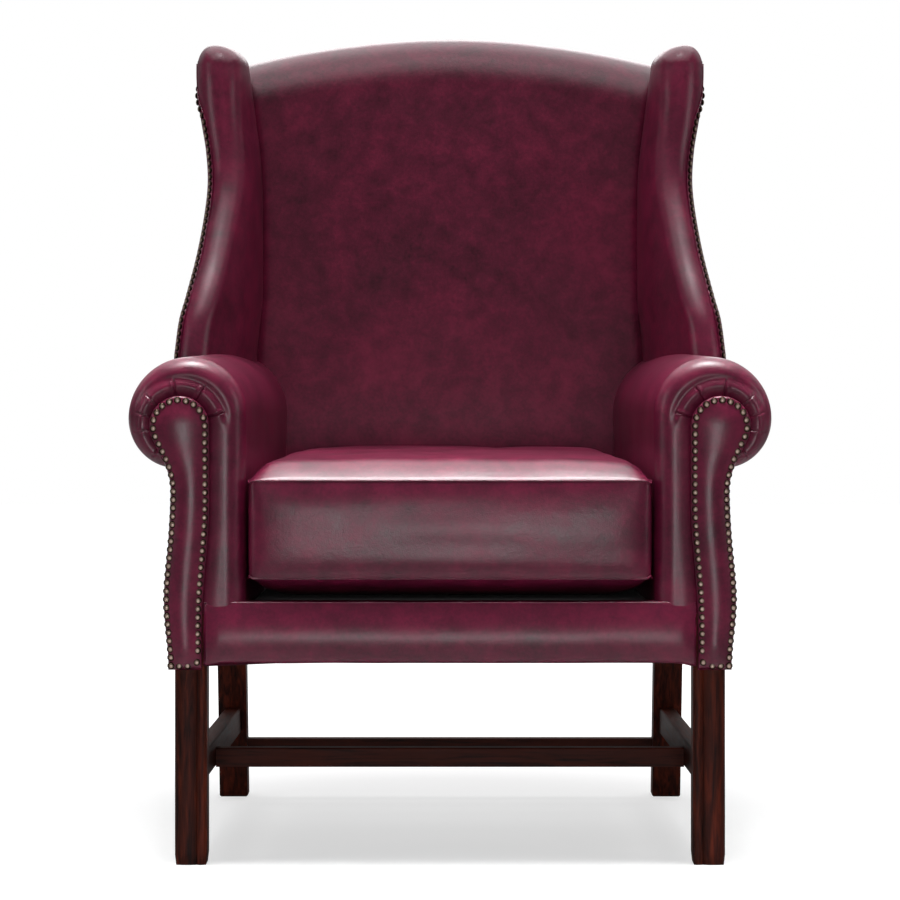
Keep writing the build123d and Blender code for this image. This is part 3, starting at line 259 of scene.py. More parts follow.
# %% Wood
def make_wood(name, stretch, dark, red):
    """Wood with its grain along the axis that has the smallest number in stretch."""
    material, shader, start, place = new_material(
        name, Coat_Roughness=0.3, Coat_Weight=0.02, Specular_IOR_Level=0.1
    )
    along = start.node("Mapping", {"Vector": place, "Scale": stretch})
    grain = noise_flow(start, along, 1.0, 8.0, 0.62, 1.4)
    streaks = noise_flow(start, along, 3.2, 4.0, 0.5, 0.4)
    tone = (grain * 0.65 + streaks * 0.35).clamp()
    color = tone.ramp((0.36, dark), (0.50, srgb(60, 20, 10)), (0.68, red))
    rough = 0.52 + (streaks - 0.5) * 0.2
    bump = start.node("Bump", {"Height": tone, "Strength": 0.18, "Distance": 0.0006})
    feed(shader, Base_Color=color, Roughness=rough, Normal=bump)
    return material


bog = srgb(20, 5, 3)
wood_up = make_wood("mahogany_upright", (75.0, 75.0, 6.0), bog, srgb(100, 36, 19))
wood_across = make_wood("mahogany_across", (6.0, 75.0, 75.0), bog, srgb(76, 27, 15))
wood_deep = make_wood("mahogany_side", (75.0, 6.0, 75.0), bog, srgb(76, 27, 15))
beech = make_wood("frame_beech", (6.0, 60.0, 60.0), srgb(150, 112, 74), srgb(196, 158, 112))
print("woods:", [wood.name for wood in (wood_up, wood_across, wood_deep, beech)])


# %% Brass nails, steel and cloth
def make_nail_brass():
    """Aged brass with a painted highlight: lightened on the crown of each head, and nearly black at its rim,
    partly patina and partly painted shade.
    """
    material, shader, start, place = new_material("aged_brass", Metallic=1.0)
    crown = start.node("Attribute", settings={"attribute_name": "crown"}, out=2)
    patina = noise_flow(start, place, 420.0, 2.0)
    # painted highlight: the crown of each head is lightened, and its rim is darkened partly as patina and
    # partly as painted shade; roughness falls towards the crown as polish
    polish_and_highlight = (crown + (patina - 0.5) * 0.2).clamp()
    color = polish_and_highlight.ramp((0.58, srgb(26, 16, 11)), (0.80, srgb(102, 82, 70)), (0.94, srgb(194, 170, 156)))
    feed(shader, Base_Color=color, Roughness=0.62 - polish_and_highlight * 0.26)
    return material


def make_plain_metal(name, color):
    """Steel or brass with a faint brushed change of gloss."""
    material, shader, start, place = new_material(name, Metallic=1.0, Base_Color=color)
    feed(shader, Roughness=0.3 + noise_flow(start, place, 300.0) * 0.2)
    return material


def make_cloth(name, dark, light, count):
    """A plain weave with count threads to the metre."""
    material, shader, start, place = new_material(name, Sheen_Weight=0.2)
    turn = count * 2 * pi
    warp, weft, rise = (start.math("SINE", part * turn) for part in place.axes())
    weave = (warp * weft + rise * warp) * 0.25 + 0.5
    fuzz = noise_flow(start, place, 45.0, 4.0)
    bump = start.node("Bump", {"Height": weave, "Strength": 0.3, "Distance": 0.0004})
    color = (weave * 0.5 + fuzz * 0.5).mix(dark, light)
    feed(shader, Base_Color=color, Roughness=0.8 + fuzz * 0.15, Normal=bump)
    return material


brass = make_nail_brass()
steel = make_plain_metal("spring_wire", srgb(150, 150, 155))
zip_brass = make_plain_metal("zip_brass", srgb(176, 150, 96))
black_cloth = make_cloth("black_lining", srgb(9, 7, 8), srgb(26, 22, 23), 900)
jute = make_cloth("jute_webbing", srgb(120, 98, 66), srgb(176, 150, 108), 420)
print("metals and cloths ready")

# %% [markdown]
# ## Forms from a placed grid
# Every leather panel is one skin laid over a form. A grid from bmesh is placed by a function of two
# shares, one across and one along, then its seam is merged and its open ends are filled. This keeps a
# smooth flow of faces along the leather, which a cut or joined shape would not.


# %% Grid helper
merge_distance = 2e-6


def finish_mesh(name, bm, material, body="chair_frame"):
    """Turns a bmesh into a shaded piece that rides on a body."""
    mesh = bpy.data.meshes.new(name)
    bm.to_mesh(mesh)
    bm.free()
    mesh.materials.append(material)
    for polygon in mesh.polygons:
        polygon.use_smooth = True
    piece = bpy.data.objects.new(name, mesh)
    bpy.context.scene.collection.objects.link(piece)
    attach(piece, body)
    print(name, len(mesh.polygons), "faces")
    return piece


def open_grid(across, along, place):
    """A grid placed by place(u, v), merged at its seam, with its edges left open."""
    bm = bmesh.new()
    bm.loops.layers.uv.new("UVMap")
    bmesh.ops.create_grid(bm, x_segments=across, y_segments=along, size=0.5, calc_uvs=True)
    for vert in bm.verts:
        vert.co = place(vert.co.x + 0.5, vert.co.y + 0.5)
    bmesh.ops.remove_doubles(bm, verts=bm.verts, dist=merge_distance)
    bmesh.ops.recalc_face_normals(bm, faces=bm.faces)
    return bm


def placed_grid(across, along, place):
    """A closed skin: a placed grid that is filled at its open ends."""
    bm = open_grid(across, along, place)
    open_edges = [edge for edge in bm.edges if edge.is_boundary]
    if open_edges:
        bmesh.ops.holes_fill(bm, edges=open_edges, sides=0)
    bmesh.ops.recalc_face_normals(bm, faces=bm.faces)
    return bm


def shell(bm, thickness):
    """Gives an open skin its thickness, inwards."""
    bmesh.ops.solidify(bm, geom=bm.faces[:], thickness=thickness)
    bmesh.ops.recalc_face_normals(bm, faces=bm.faces)
    return bm


def soften(bm, amount, size, seed):
    """Moves the skin in and out a little, as hand-laid padding does."""
    bm.normal_update()
    shift = Vector((seed, 0, 0))
    moves = [vert.normal * noise.noise(vert.co / size + shift) * amount for vert in bm.verts]
    for vert, move in zip(bm.verts, moves):
        vert.co += move


def both_sides(bm, name, material, covers):
    """Makes the left piece and its mirror image, each in place of its own CAD nodes."""
    twin = bm.copy()
    bmesh.ops.scale(twin, vec=(-1, 1, 1), verts=twin.verts)
    bmesh.ops.recalc_face_normals(twin, faces=twin.faces)
    pieces = []
    for side, mesh in (("left", bm), ("right", twin)):
        piece = finish_mesh(name + "_" + side, mesh, material)
        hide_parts(*[cover + "_" + side for cover in covers])
        pieces.append(piece)
    return pieces


def around(middle, radius, angle):
    """A point on a circle, at an angle in degrees."""
    return middle[0] + radius * cos(radians(angle)), middle[1] + radius * sin(radians(angle))


def along_path(parts, shares, u):
    """The point at share u of a path of lines and arcs, each taking its own share of u."""
    start = 0.0
    for part, share in zip(parts, shares):
        if u <= start + share or part is parts[-1]:
            t = min(max((u - start) / share, 0.0), 1.0)
            if len(part) == 2:
                (x0, y0), (x1, y1) = part
                return x0 + (x1 - x0) * t, y0 + (y1 - y0) * t
            middle, radius, first, last = part
            return around(middle, radius, first + (last - first) * t)
        start += share


def quarter(distance, run):
    """The height, from 0 to 1, of a quarter round at a distance from its edge, flat past its run."""
    return sqrt(1 - (1 - min(max(distance, 0.0), run) / run) ** 2)


def curve_through(table, t):
    """A smooth value at t, from 0 to 1, through evenly or unevenly placed (place, value) pairs."""
    count = len(table)
    index = max(i for i in range(count - 1) if table[i][0] <= t or i == 0)
    (a, low), (b, high) = table[index], table[index + 1]
    before = table[max(index - 1, 0)]
    after = table[min(index + 2, count - 1)]
    slope_low = (high - before[1]) / (b - before[0])
    slope_high = (after[1] - low) / (after[0] - a)
    share = (t - a) / (b - a)
    s2, s3 = share * share, share**3
    return (
        (2 * s3 - 3 * s2 + 1) * low
        + (s3 - 2 * s2 + share) * slope_low * (b - a)
        + (3 * s2 - 2 * s3) * high
        + (s3 - s2) * slope_high * (b - a)
    )


print("form helpers ready")

# %% [markdown]
# ## Arms
# Each arm is a roll on an upright wall. At its front the leather is turned over the roll's edge and
# pleated in towards the facing, because a flat skin can't go round a scroll without spare leather. The
# skin runs from the rear end forwards, over a wide rounded edge, and in across the front face, where it
# makes a shallow valley, a pleated ring and a slope down to the nails.

# %% Arm sizes
arm_top = 631.5 * mm
arm_rise = 3 * mm
roll_left = -402.3 * mm
roll_middle = 554 * mm
roll_upper = arm_top - roll_middle
roll_lower = 61 * mm
roll_inset = 13 * mm
arm_inner_front = 255 * mm
arm_inner_rear = 224 * mm
arm_lining = 312 * mm
arm_length = 675 * mm
facing_thickness = 6 * mm
front_round = 27 * mm
nail_centre = (-336.4 * mm, 545.9 * mm)
nail_arch = 31.9 * mm
nail_straight = -304.5 * mm
nail_foot = -313.3 * mm
arm_shares = (0.06, 0.22, 0.27, 0.24, 0.16, 0.05)
arm_run_share = 0.22
edge_share = 0.42
arm_closing = 6 * mm


def nail_inner(height):
    """The x of the inner nail line at a height, below the arch."""
    return nail_straight + (nail_foot - nail_straight) * smooth((455 * mm - height) / (155 * mm))


# %% Arm outline
def arm_outline(u, depth):
    """A point of the scroll's section at this depth, from its lining round to its inner wall."""
    share = depth / arm_length
    shift = roll_inset * share
    left, middle = roll_left + shift, roll_middle + arm_rise * share
    inner = -(arm_inner_front + (arm_inner_rear - arm_inner_front) * share)
    lining = -arm_lining + shift
    low_x, high_x = left + roll_lower, left + roll_upper
    low = -degrees(acos(min((lining - low_x) / roll_lower, 1.0)))
    low_point = around((low_x, middle), roll_lower, low)
    blend = inner - high_x
    inner_high = middle + roll_upper - blend
    parts = (
        ((lining, rail_top), low_point),
        ((low_x, middle), roll_lower, low, -180),
        ((high_x, middle), roll_upper, 180, 90),
        ((high_x, inner_high), blend, 90, 0),
        ((inner, inner_high), (inner, rail_top)),
        ((inner, rail_top), (lining, rail_top)),
    )
    return along_path(parts, arm_shares, u)


def nail_side(x, z):
    """The point of the nail line that a point of the front outline is drawn in to."""
    if z > nail_centre[1] or x < nail_centre[0]:
        away = Vector((x - nail_centre[0], z - nail_centre[1]))
        spot = Vector(nail_centre) + away.normalized() * nail_arch
        return spot.x, max(spot.y, rail_top)
    return nail_inner(z), z


# %% [markdown]
# ### The front of the scroll
# The height of the front face is a sum of gentle bumps over the distance from the nails. Each pleat is
# a narrow sink with a soft lip beside it, as folded leather has.

# %% Arm front
pleats = ((17, 1.0), (57, 1.0), (97, 0.9), (137, 0.5), (163, 0.4), (188, 0.5), (228, 0.7))
pleat_depth = 2.3 * mm
pleat_width = 1.3 * mm
pleat_reach = 23 * mm
ring_place, ring_width, ring_height = 17 * mm, 7 * mm, 2.2 * mm
valley_place, valley_width, valley_depth = 27 * mm, 5 * mm, 1.6 * mm
nail_slope, nail_sink = 24 * mm, 5 * mm


def pleats_at(x, z, distance):
    """How far the leather sinks for the pleats at a place on the front face."""
    dx, dz = x - nail_centre[0], z - nail_centre[1]
    angle = degrees(atan2(dz, dx))
    sink = 0.0
    for pleat, strength in pleats:
        off = (angle - pleat + 180) % 360 - 180
        run = sqrt(dx * dx + dz * dz) * radians(off)
        sink += strength * (bell(run, pleat_width) - 0.35 * bell(run - 3.2 * mm, 2.4 * mm))
    return pleat_depth * sink * (1 - smooth((distance - pleat_reach) / (5 * mm)))


def front_height(x, z, distance, edge):
    """How far behind the front plane the skin lies, this far from the nails and from the edge."""
    dx, dz = x - nail_centre[0], z - nail_centre[1]
    angle = degrees(atan2(dz, dx))
    turn = (angle + 90) % 360 - 90
    fade = smooth((turn + 8) / 26) * (1 - smooth((turn - 235) / 20))
    edge_round = min(front_round, 0.8 * (distance + edge))
    back_off = max(edge_round - edge, 0.0)
    turned = edge_round - sqrt(max(edge_round**2 - back_off**2, 0.0))
    ring = ring_height * bell(distance - ring_place, ring_width)
    valley = valley_depth * bell(distance - valley_place, valley_width)
    climb = min(distance / nail_slope, 1.0)
    slope = nail_sink * (1 - climb * (2 - climb))
    return turned + slope + fade * (valley - ring + pleats_at(x, z, distance))


def arm_place(u, v):
    """The arm's skin: v runs from the rear end forwards, over the edge and in to the nails."""
    edge_depth = facing_thickness + front_round
    if v < arm_run_share:
        share = v / arm_run_share
        depth = arm_length + (edge_depth - arm_length) * share
        x, z = arm_outline(u, depth)
        depth = min(depth, back_depth(max(z, rail_top)) - 1 * mm)
        closing = arm_closing * (1 - smooth(share * 12))
        towards = Vector((roll_left + roll_upper - x, roll_middle - z)).normalized() * closing
        return Vector((x + towards.x, at(depth), max(z + towards.y, rail_top)))
    share = (v - arm_run_share) / (1 - arm_run_share)
    x, z = arm_outline(u, edge_depth * 0.5)
    goal = nail_side(x, z)
    whole = sqrt((goal[0] - x) ** 2 + (goal[1] - z) ** 2)
    edge_round = min(front_round, 0.8 * whole)
    turn = min(share / edge_share, 1.0) * pi / 2
    edge = edge_round * (1 - cos(turn))
    if share > edge_share:
        edge = edge_round + (whole - edge_round) * (share - edge_share) / (1 - edge_share)
    part = edge / whole
    spot_x, spot_z = x + (goal[0] - x) * part, z + (goal[1] - z) * part
    return Vector((spot_x, at(facing_thickness + front_height(spot_x, spot_z, whole - edge, edge)), spot_z))


arm_bm = placed_grid(620, 104, arm_place)
soften(arm_bm, 0.9 * mm, 0.09, 3.0)
for arm in both_sides(arm_bm, "arm_leather", leather, ("arm_cover", "arm_pad")):
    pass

# %% [markdown]
# ## Facings
# The keyhole panel on each arm front is leather over a shaped board, pulled down at the nails and
# fuller in the middle. Its outline is read from the CAD node at each height, so it meets the nails.


# %% Facing skin
def node_mesh(node):
    """A merged copy of a CAD node's mesh."""
    bm = bmesh.new()
    bm.from_mesh(nodes[node].data)
    bmesh.ops.remove_doubles(bm, verts=bm.verts, dist=1e-5)
    return bm


def loose_solids(node):
    """The separate solids of a CAD node, each as the places of its points."""
    bm = node_mesh(node)
    unseen = set(bm.verts)
    solids = []
    while unseen:
        stack = [unseen.pop()]
        solid = []
        while stack:
            vert = stack.pop()
            solid.append(vert.co.copy())
            for edge in vert.link_edges:
                other = edge.other_vert(vert)
                if other in unseen:
                    unseen.remove(other)
                    stack.append(other)
        solids.append(solid)
    bm.free()
    return solids


def width_at(source, height):
    """The lowest and highest x of a mesh at a height."""
    cut = source.copy()
    parts = cut.verts[:] + cut.edges[:] + cut.faces[:]
    done = bmesh.ops.bisect_plane(cut, geom=parts, plane_co=(0, 0, height), plane_no=(0, 0, 1))
    xs = [item.co.x for item in done["geom_cut"] if isinstance(item, bmesh.types.BMVert)]
    cut.free()
    return min(xs), max(xs)


facing_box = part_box("arm_facing_left")
facing_mesh = node_mesh("arm_facing_left")
facing_low, facing_high = facing_box[0][2], facing_box[1][2]
facing_rows = 110
facing_bulge = 6.5 * mm
facing_inset = 0.05 * mm
facing_foot = 32 * mm
facing_edge = 4 * mm
nail_margin = 5.5 * mm
facing_widths = []
for row in range(facing_rows + 1):
    turn = pi / 2 * row / facing_rows
    height = facing_low + (facing_high - facing_low) * (0.02 * mm + sin(turn) * 0.9999)
    level = min(max(height, facing_low + facing_inset), facing_high - facing_inset)
    facing_widths.append((height, *width_at(facing_mesh, level)))
facing_mesh.free()


def facing_place(u, v):
    """The facing's front: v up the panel and u across it, fuller towards its middle."""
    row = min(int(round(v * facing_rows)), facing_rows)
    height, low, high = facing_widths[row]
    x = low + (high - low) * u
    half = (high - low) / 2
    rim, whole = min(u, 1 - u) * 2 * half, half
    if height > nail_centre[1]:
        whole = nail_arch + nail_margin
        rim = min(rim, whole - sqrt((x - nail_centre[0]) ** 2 + (height - nail_centre[1]) ** 2))
    foot = min((height - facing_low) / facing_foot, 1.0)
    fall = quarter(min(rim, height - facing_low), facing_edge)
    climb = min(max((rim - nail_margin * 0.7) / (whole - nail_margin * 0.7), 0.0), 1.0)
    full = climb * (2 - climb) * foot * (2 - foot)
    return Vector((x, at(facing_thickness * (1 - fall) * 0.8 - facing_bulge * full), height))


facing_bm = shell(open_grid(40, facing_rows, facing_place), 2.0 * mm)
both_sides(facing_bm, "facing_leather", leather, ("arm_facing",))

# %% [markdown]
# ## Wings
# A wing is a padded finger: it comes forwards from the back post, flares out at the arm and again at
# its top, and ends in a soft rounded lobe. Its plan is drawn at each height from three tables: how far
# it reaches forwards, how far it flares out and how deep its root is.

# %% Wing sizes
wing_base = 632 * mm
wing_top = 1064 * mm
wing_reach = 295 * mm
wing_flare = 47 * mm
wing_root = 63 * mm
wing_tuck = 70 * mm
wing_lobe = 31 * mm
wing_drop = 13 * mm
lobe_rise = 3 * mm
lobe_lean = 10 * mm
nose_end = 26
wing_bury = 26 * mm
wing_root_tuck = 9 * mm
wing_rear = 40 * mm
wing_end_low, wing_end_fade = 985 * mm, 45 * mm
wing_overlap = 34 * mm
wing_end_drop = 10 * mm
wing_end_round = 12 * mm
wing_places = (0.0, 0.11, 0.18, 0.32, 0.465, 0.56, 0.66, 0.74, 0.82, 0.89, 0.953)
reach_shares = (1.0, 0.976, 0.936, 0.84, 0.75, 0.705, 0.681, 0.677, 0.681, 0.685, 0.676)
flare_shares = (1.0, 0.90, 0.755, 0.50, 0.335, 0.30, 0.39, 0.53, 0.67, 0.745, 0.77)
root_shares = (0.916, 0.968, 1.0, 0.99, 0.959, 0.91, 0.852, 0.78, 0.68, 0.55, 0.41)
wing_noses = (25, 25, 25, 25, 26, 27, 28, 29, 31, 32.5, 33)
wing_shares = (0.05, 0.18, 0.34, 0.26, 0.10, 0.07)


# %% Wing skin
def wing_values(height):
    """Reach, flare and root of the wing at a height, and the radius of its nose."""
    t = min(max((height - wing_base) / (wing_top - wing_base), 0.0), wing_places[-1])
    tables = (reach_shares, flare_shares, root_shares, wing_noses)
    sizes = (wing_reach, wing_flare, wing_root, mm)
    return [curve_through(list(zip(wing_places, table)), t) * size for table, size in zip(tables, sizes)]


def wing_section(height):
    """The wing's plan at a height: outer x, rear y, root, nose radius and middle, and its touch angle."""
    reach, flare, root, nose = wing_values(height)
    outer = post_outer(height)
    rear = at(back_depth(height) - wing_rear)
    tip = (-(outer + flare) + nose, rear - reach + nose)
    leave = 180 - degrees(atan2(-outer - tip[0] + nose, rear - tip[1]))
    return outer, rear, root, nose, tip, leave


def wing_plan(u, height):
    """A point of the wing's plan at a height, and its spine's point beside it with the share run there."""
    outer, rear, root, nose, tip, leave = wing_section(height)
    end = rear + wing_overlap * smooth((height - wing_end_low) / wing_end_fade)
    outer_rear = (-outer, rear)
    inner_y = at(back_depth(height) - (pad_front - wing_bury) / cos(rake))
    inner_rear = (-(outer - root) - wing_root_tuck, inner_y)
    touch_in = around(tip, nose, -nose_end)
    parts = (
        ((-outer, end), outer_rear),
        (outer_rear, around(tip, nose, leave)),
        (tip, nose, leave, 360 - nose_end),
        (touch_in, inner_rear),
        (inner_rear, (inner_rear[0], end)),
        ((inner_rear[0], end), (-outer, end)),
    )
    x, y = along_path(parts, wing_shares, u)
    inner = (u - sum(wing_shares[:3])) / wing_shares[3]
    if 0 < inner < 1:
        start, end = Vector(touch_in), Vector(inner_rear)
        pull = (end - start).length / 3
        first = start + Vector((sin(radians(nose_end)), cos(radians(nose_end)))) * pull
        second = end - Vector((-0.2, 0.98)) * pull
        rest = 1 - inner
        bend = start * rest**3 + first * 3 * rest * rest * inner
        bend = bend + second * 3 * rest * inner * inner + end * inner**3
        x, y = bend.x, bend.y
    spine = min(max((y - tip[1]) / (rear - tip[1]), 0.0), 1.0)
    ridge = tip[0] - lobe_lean
    spine_x = ridge + ((outer_rear[0] + inner_rear[0]) / 2 - ridge) * spine
    return x, y, spine_x, max(y, tip[1]), spine + max(y - rear, 0.0) / wing_overlap


def wing_place(u, v):
    """The wing's skin: v up from inside the arm, then over the lobe to its ridge."""
    shoulder = 0.8
    lobe_base = wing_top + lobe_rise - wing_lobe
    if v < shoulder:
        height = wing_base - wing_tuck + (lobe_base - wing_base + wing_tuck) * v / shoulder
        turn = 0.0
    else:
        height = lobe_base
        turn = (v - shoulder) / (1 - shoulder) * pi / 2
    x, y, spine_x, spine_y, spine = wing_plan(u, height)
    behind = max(spine - 1, 0.0)
    lean = tan(rake) * wing_lobe * sin(turn) - wing_end_round * (1 - cos(turn)) * behind
    x = spine_x + (x - spine_x) * cos(turn)
    y = spine_y + (y - spine_y) * cos(turn) + lean
    drop = (wing_drop * min(spine, 1.0) + wing_end_drop * behind**2) * smooth((v - 0.62) / 0.38)
    return Vector((x, y, height + wing_lobe * sin(turn) - drop))


wing_bm = placed_grid(150, 130, wing_place)
soften(wing_bm, 1.2 * mm, 0.07, 8.0)
for wing in both_sides(wing_bm, "wing_leather", leather, ("inside_wing_cover", "wing_pad")):
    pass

# %% [markdown]
# ## Outside wing
# The outer side of each wing is one flat skin, turned round the nose and nailed there. It lies just
# proud of the padded side, so the nails have an edge to hold.

# %% Outside wing skin
hem_turn = 8
hem_thickness = 2.2 * mm
hem_share, hem_straight, hem_rear = 0.3, 0.55, 0.15
panel_fall = 15 * mm


def nail_turn_at(height):
    """How far the nail row stands round the nose towards the front: less at the lobe."""
    return 34 - 54 * smooth((height - 950 * mm) / (75 * mm))


def wing_outside_place(u, v):
    """The outside wing: v up the wing, u from the hem round the nose and back to the outside back."""
    top = wing_top - wing_lobe * 0.75 - panel_fall * max((u - hem_share) / (1 - hem_share), 0.0) ** 1.3
    height = wing_base - wing_tuck + (top - wing_base + wing_tuck) * v
    outer, rear, _, nose, tip, leave = wing_section(height)
    radius = nose + hem_thickness
    hem = max(180 + nail_turn_at(height) + hem_turn, leave + 4)
    parts = (
        (tip, radius, hem, leave),
        (around(tip, radius, leave), (-outer - hem_thickness, rear)),
        ((-outer - hem_thickness, rear), (-outer - hem_thickness, at(back_depth(height) + 1.5 * mm))),
    )
    return Vector((*along_path(parts, (hem_share, hem_straight, hem_rear), u), height))


outside_wing_bm = shell(open_grid(60, 110, wing_outside_place), hem_thickness * 0.9)
for piece in both_sides(outside_wing_bm, "outside_wing_leather", leather, ("outside_wing_cover",)):
    side = piece.name.rsplit("_", 1)[1]

# %% [markdown]
# ## Inside back
# The back is one skin over a sprung pad: slightly fuller in its middle, drawn in where it meets the
# wings, and rolled over the arched crest to the outside back.

# %% Back sizes
crest_roll_rise = crest_height - rail_bottom - crest_roll - (pad_front - crest_roll) * sin(rake)
crest_top_run = crest_roll_rise / cos(rake) + crest_roll
arch_radius = (crest_half_width**2 + crest_rise**2) / (2 * crest_rise)
back_shares = (0.50, 0.27, 0.06, 0.02, 0.15)
crest_lift = 8.5 * mm
crest_forward = 72 * mm
crest_drop = 84 * mm
crease_depth = 5 * mm
crease_width = 7 * mm


def arch_run(x):
    """How far up the rake the crest line is at x."""
    return crest_top_run - arch_radius + sqrt(max(arch_radius**2 - x * x, 0))


def inner_wing_x(height):
    """Half-width between the wings' roots at a height."""
    return post_outer(height) - wing_values(height)[2]


# %% Back skin
def back_place(u, v):
    """The padded back: u across and v up its face, over the crest and down behind."""
    x = crest_half_width * (2 * u - 1)
    top = arch_run(x) + crest_lift
    shoulder = top - crest_drop
    low = (deck_top - rail_bottom - pad_front * sin(rake)) / cos(rake) + 2 * mm
    behind = top - 60 * mm
    parts = (
        ((pad_front, low), (pad_front, shoulder)),
        ((0, 0), 1.0, 0, 90),
        ((pad_front - crest_forward, top), (2 * mm, top - crest_lift)),
        ((2 * mm, top - crest_lift), (2 * mm, behind)),
        ((2 * mm, behind), (pad_rear, low)),
    )
    forward, run = along_path(parts, back_shares, v)
    if back_shares[0] < v <= back_shares[0] + back_shares[1]:
        forward, run = pad_front - crest_forward * (1 - forward), shoulder + crest_drop * run
    height = on_back(x, run, forward).z
    share = min(max((run - low) / (shoulder - low), 0.0), 1.0)
    face = 1.0 if v <= back_shares[0] else max(1 - (v - back_shares[0]) / back_shares[1], 0.0)
    full = (1 - (2 * share - 1) ** 2) * (1 - 0.8 * (2 * u - 1) ** 2)
    crease = bell(inner_wing_x(height) + 11 * mm - abs(x), crease_width)
    return on_back(x, run, forward + (back_crown * full - crease_depth * crease) * face)


back_bm = placed_grid(140, 170, back_place)
soften(back_bm, 1.4 * mm, 0.13, 5.0)
back = finish_mesh("back_leather", back_bm, leather)
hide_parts("inside_back_cover", "back_pad")

# %% [markdown]
# ## Outside back and outside arms
# These are flat skins over boards. The outside back is nailed along its sides and its arch, so its edge
# is pulled in a little. The outside arm has the belly and waist that the facing's outline shows.

# %% Outside back
panel_edge = 8 * mm


def outside_back_place(u, v):
    """The outside back from behind: u across and v up the rake, with a rounded edge."""
    low_half = rear_half_width + panel_edge
    high_half = post_top_half_width + 2.6 * mm
    half = low_half + (high_half - low_half) * v
    x = half * (2 * u - 1)
    top = arch_run(x)
    run = top * v
    rim = min((1 - abs(2 * u - 1)) * half, run, top - run)
    fall = (1 - min(rim / (5 * mm), 1.0)) ** 2
    full = 2.0 * mm * (1 - (2 * u - 1) ** 2) * sin(pi * v)
    return on_back(x, run, -3 * mm + 2.4 * mm * fall - full)


outside_back_bm = shell(open_grid(90, 110, outside_back_place), 1.6 * mm)
outside_back = finish_mesh("outside_back_leather", outside_back_bm, leather)
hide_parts("outside_back_cover")

# %% Outside arms
cover_bottom = 251 * mm
outside_panel = 8 * mm
belly = 4.6 * mm
belly_places = (0.0, 0.29, 0.54, 0.86, 1.0)
belly_shares = (0.0, 1.0, 0.3, -0.6, -0.3)
roll_low_x = roll_left + roll_lower + front_half_width + outside_panel
outside_top = roll_middle - sqrt(roll_lower**2 - roll_low_x**2)


def outside_arm_place(u, v):
    """The outside arm: u from the facing back to the outside back, v from its hem up under the roll."""
    height = cover_bottom + (outside_top - cover_bottom) * v
    last = back_depth(height) - 0.5 * mm
    depth = 1.5 * mm + (last - 1.5 * mm) * u
    narrows = front_half_width - rear_half_width
    closed = narrows * (depth - leg_rear_depth) / (rear_leg_depth - leg_rear_depth)
    closed = min(max(closed, 0.0), narrows)
    out = belly * curve_through(list(zip(belly_places, belly_shares)), v)
    rim = min(depth, height - cover_bottom + 1 * mm, last - depth + 2 * mm)
    fall = (1 - min(rim / (7 * mm), 1.0)) ** 2
    return Vector((-(front_half_width + outside_panel + out) + closed + 4 * mm * fall, at(depth), height))


outside_arm_bm = shell(open_grid(120, 70, outside_arm_place), 2.2 * mm)
soften(outside_arm_bm, 0.8 * mm, 0.12, 6.0)
for piece in both_sides(outside_arm_bm, "outside_arm_leather", leather, ("outside_arm_cover",)):
    side = piece.name.rsplit("_", 1)[1]

# %% [markdown]
# ## Front rail
# The rail's leather is one strip from leg to leg, padded to a gentle crown, that turns under the rail.

# %% Front rail skin
rail_half = 306 * mm
rail_front_depth = 3.5 * mm
rail_fullness = 8 * mm
rail_reach = 38 * mm
rail_lean = 4 * mm
rail_low_edge, rail_top_edge = 5 * mm, 1.2 * mm


def rail_place(u, v):
    """The front rail: u across, v from under the rail up its face and back over its top."""
    x = rail_half * (2 * u - 1)
    front, low, high = rail_front_depth, cover_bottom, deck_top
    ends = 1 - bell(rail_half - abs(x), 10 * mm)
    low -= 4 * mm * bell(rail_half - abs(x), 14 * mm)
    parts = (
        ((rail_reach, rail_top), (14 * mm, low + 2 * mm)),
        ((front + rail_low_edge, low + rail_low_edge), rail_low_edge, -90, -180),
        ((front, low + rail_low_edge), (front + rail_lean, high - rail_top_edge)),
        ((front + rail_lean + rail_top_edge, high - rail_top_edge), rail_top_edge, 180, 90),
        ((front + rail_lean + rail_top_edge, high), (rail_reach, high)),
    )
    depth, z = along_path(parts, (0.1, 0.14, 0.42, 0.22, 0.12), v)
    share = min(max((z - low) / (high - low), 0.0), 1.0)
    full = rail_fullness * sin(pi * share**0.88) * (0.5 + 0.5 * ends)
    return Vector((x, at(depth - full * (1 if depth < 20 * mm else 0)), z))


rail_bm = placed_grid(130, 56, rail_place)
soften(rail_bm, 0.9 * mm, 0.08, 2.0)
rail = finish_mesh("front_rail_leather", rail_bm, leather)
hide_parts("front_rail_cover", "front_rail_pad")

# %% [markdown]
# ## Seat cushion
# The cushion is a leather box: top and bottom panels sewn to a border all round, filled so that each
# panel swells between its seams. The seams are pinned and the Cloth modifier blows the panels out; then
# each panel is given a formula crown, scaled a little by the cloth's smoothed lift, and the sides swell as
# far as the cloth pushed them.

# %% Cushion sizes
seam_top = 477.6 * mm
seam_bottom = 356 * mm
cushion_front = at(6 * mm)
cushion_low = deck_top + 0.4 * mm
half_front = 251.5 * mm
half_rear = 218 * mm
cushion_gap = 6.5 * mm
plan_corner = 7 * mm
corner_drop = 3.5 * mm
cushion_cuts = 43
on_face = 0.4999
crown_cap = 29 * mm
front_cap = 7.5 * mm


def cushion_rear(height):
    """The y of the cushion's raked rear border at a height."""
    return at(back_depth(height)) - (pad_front + back_crown + cushion_gap) / cos(rake)


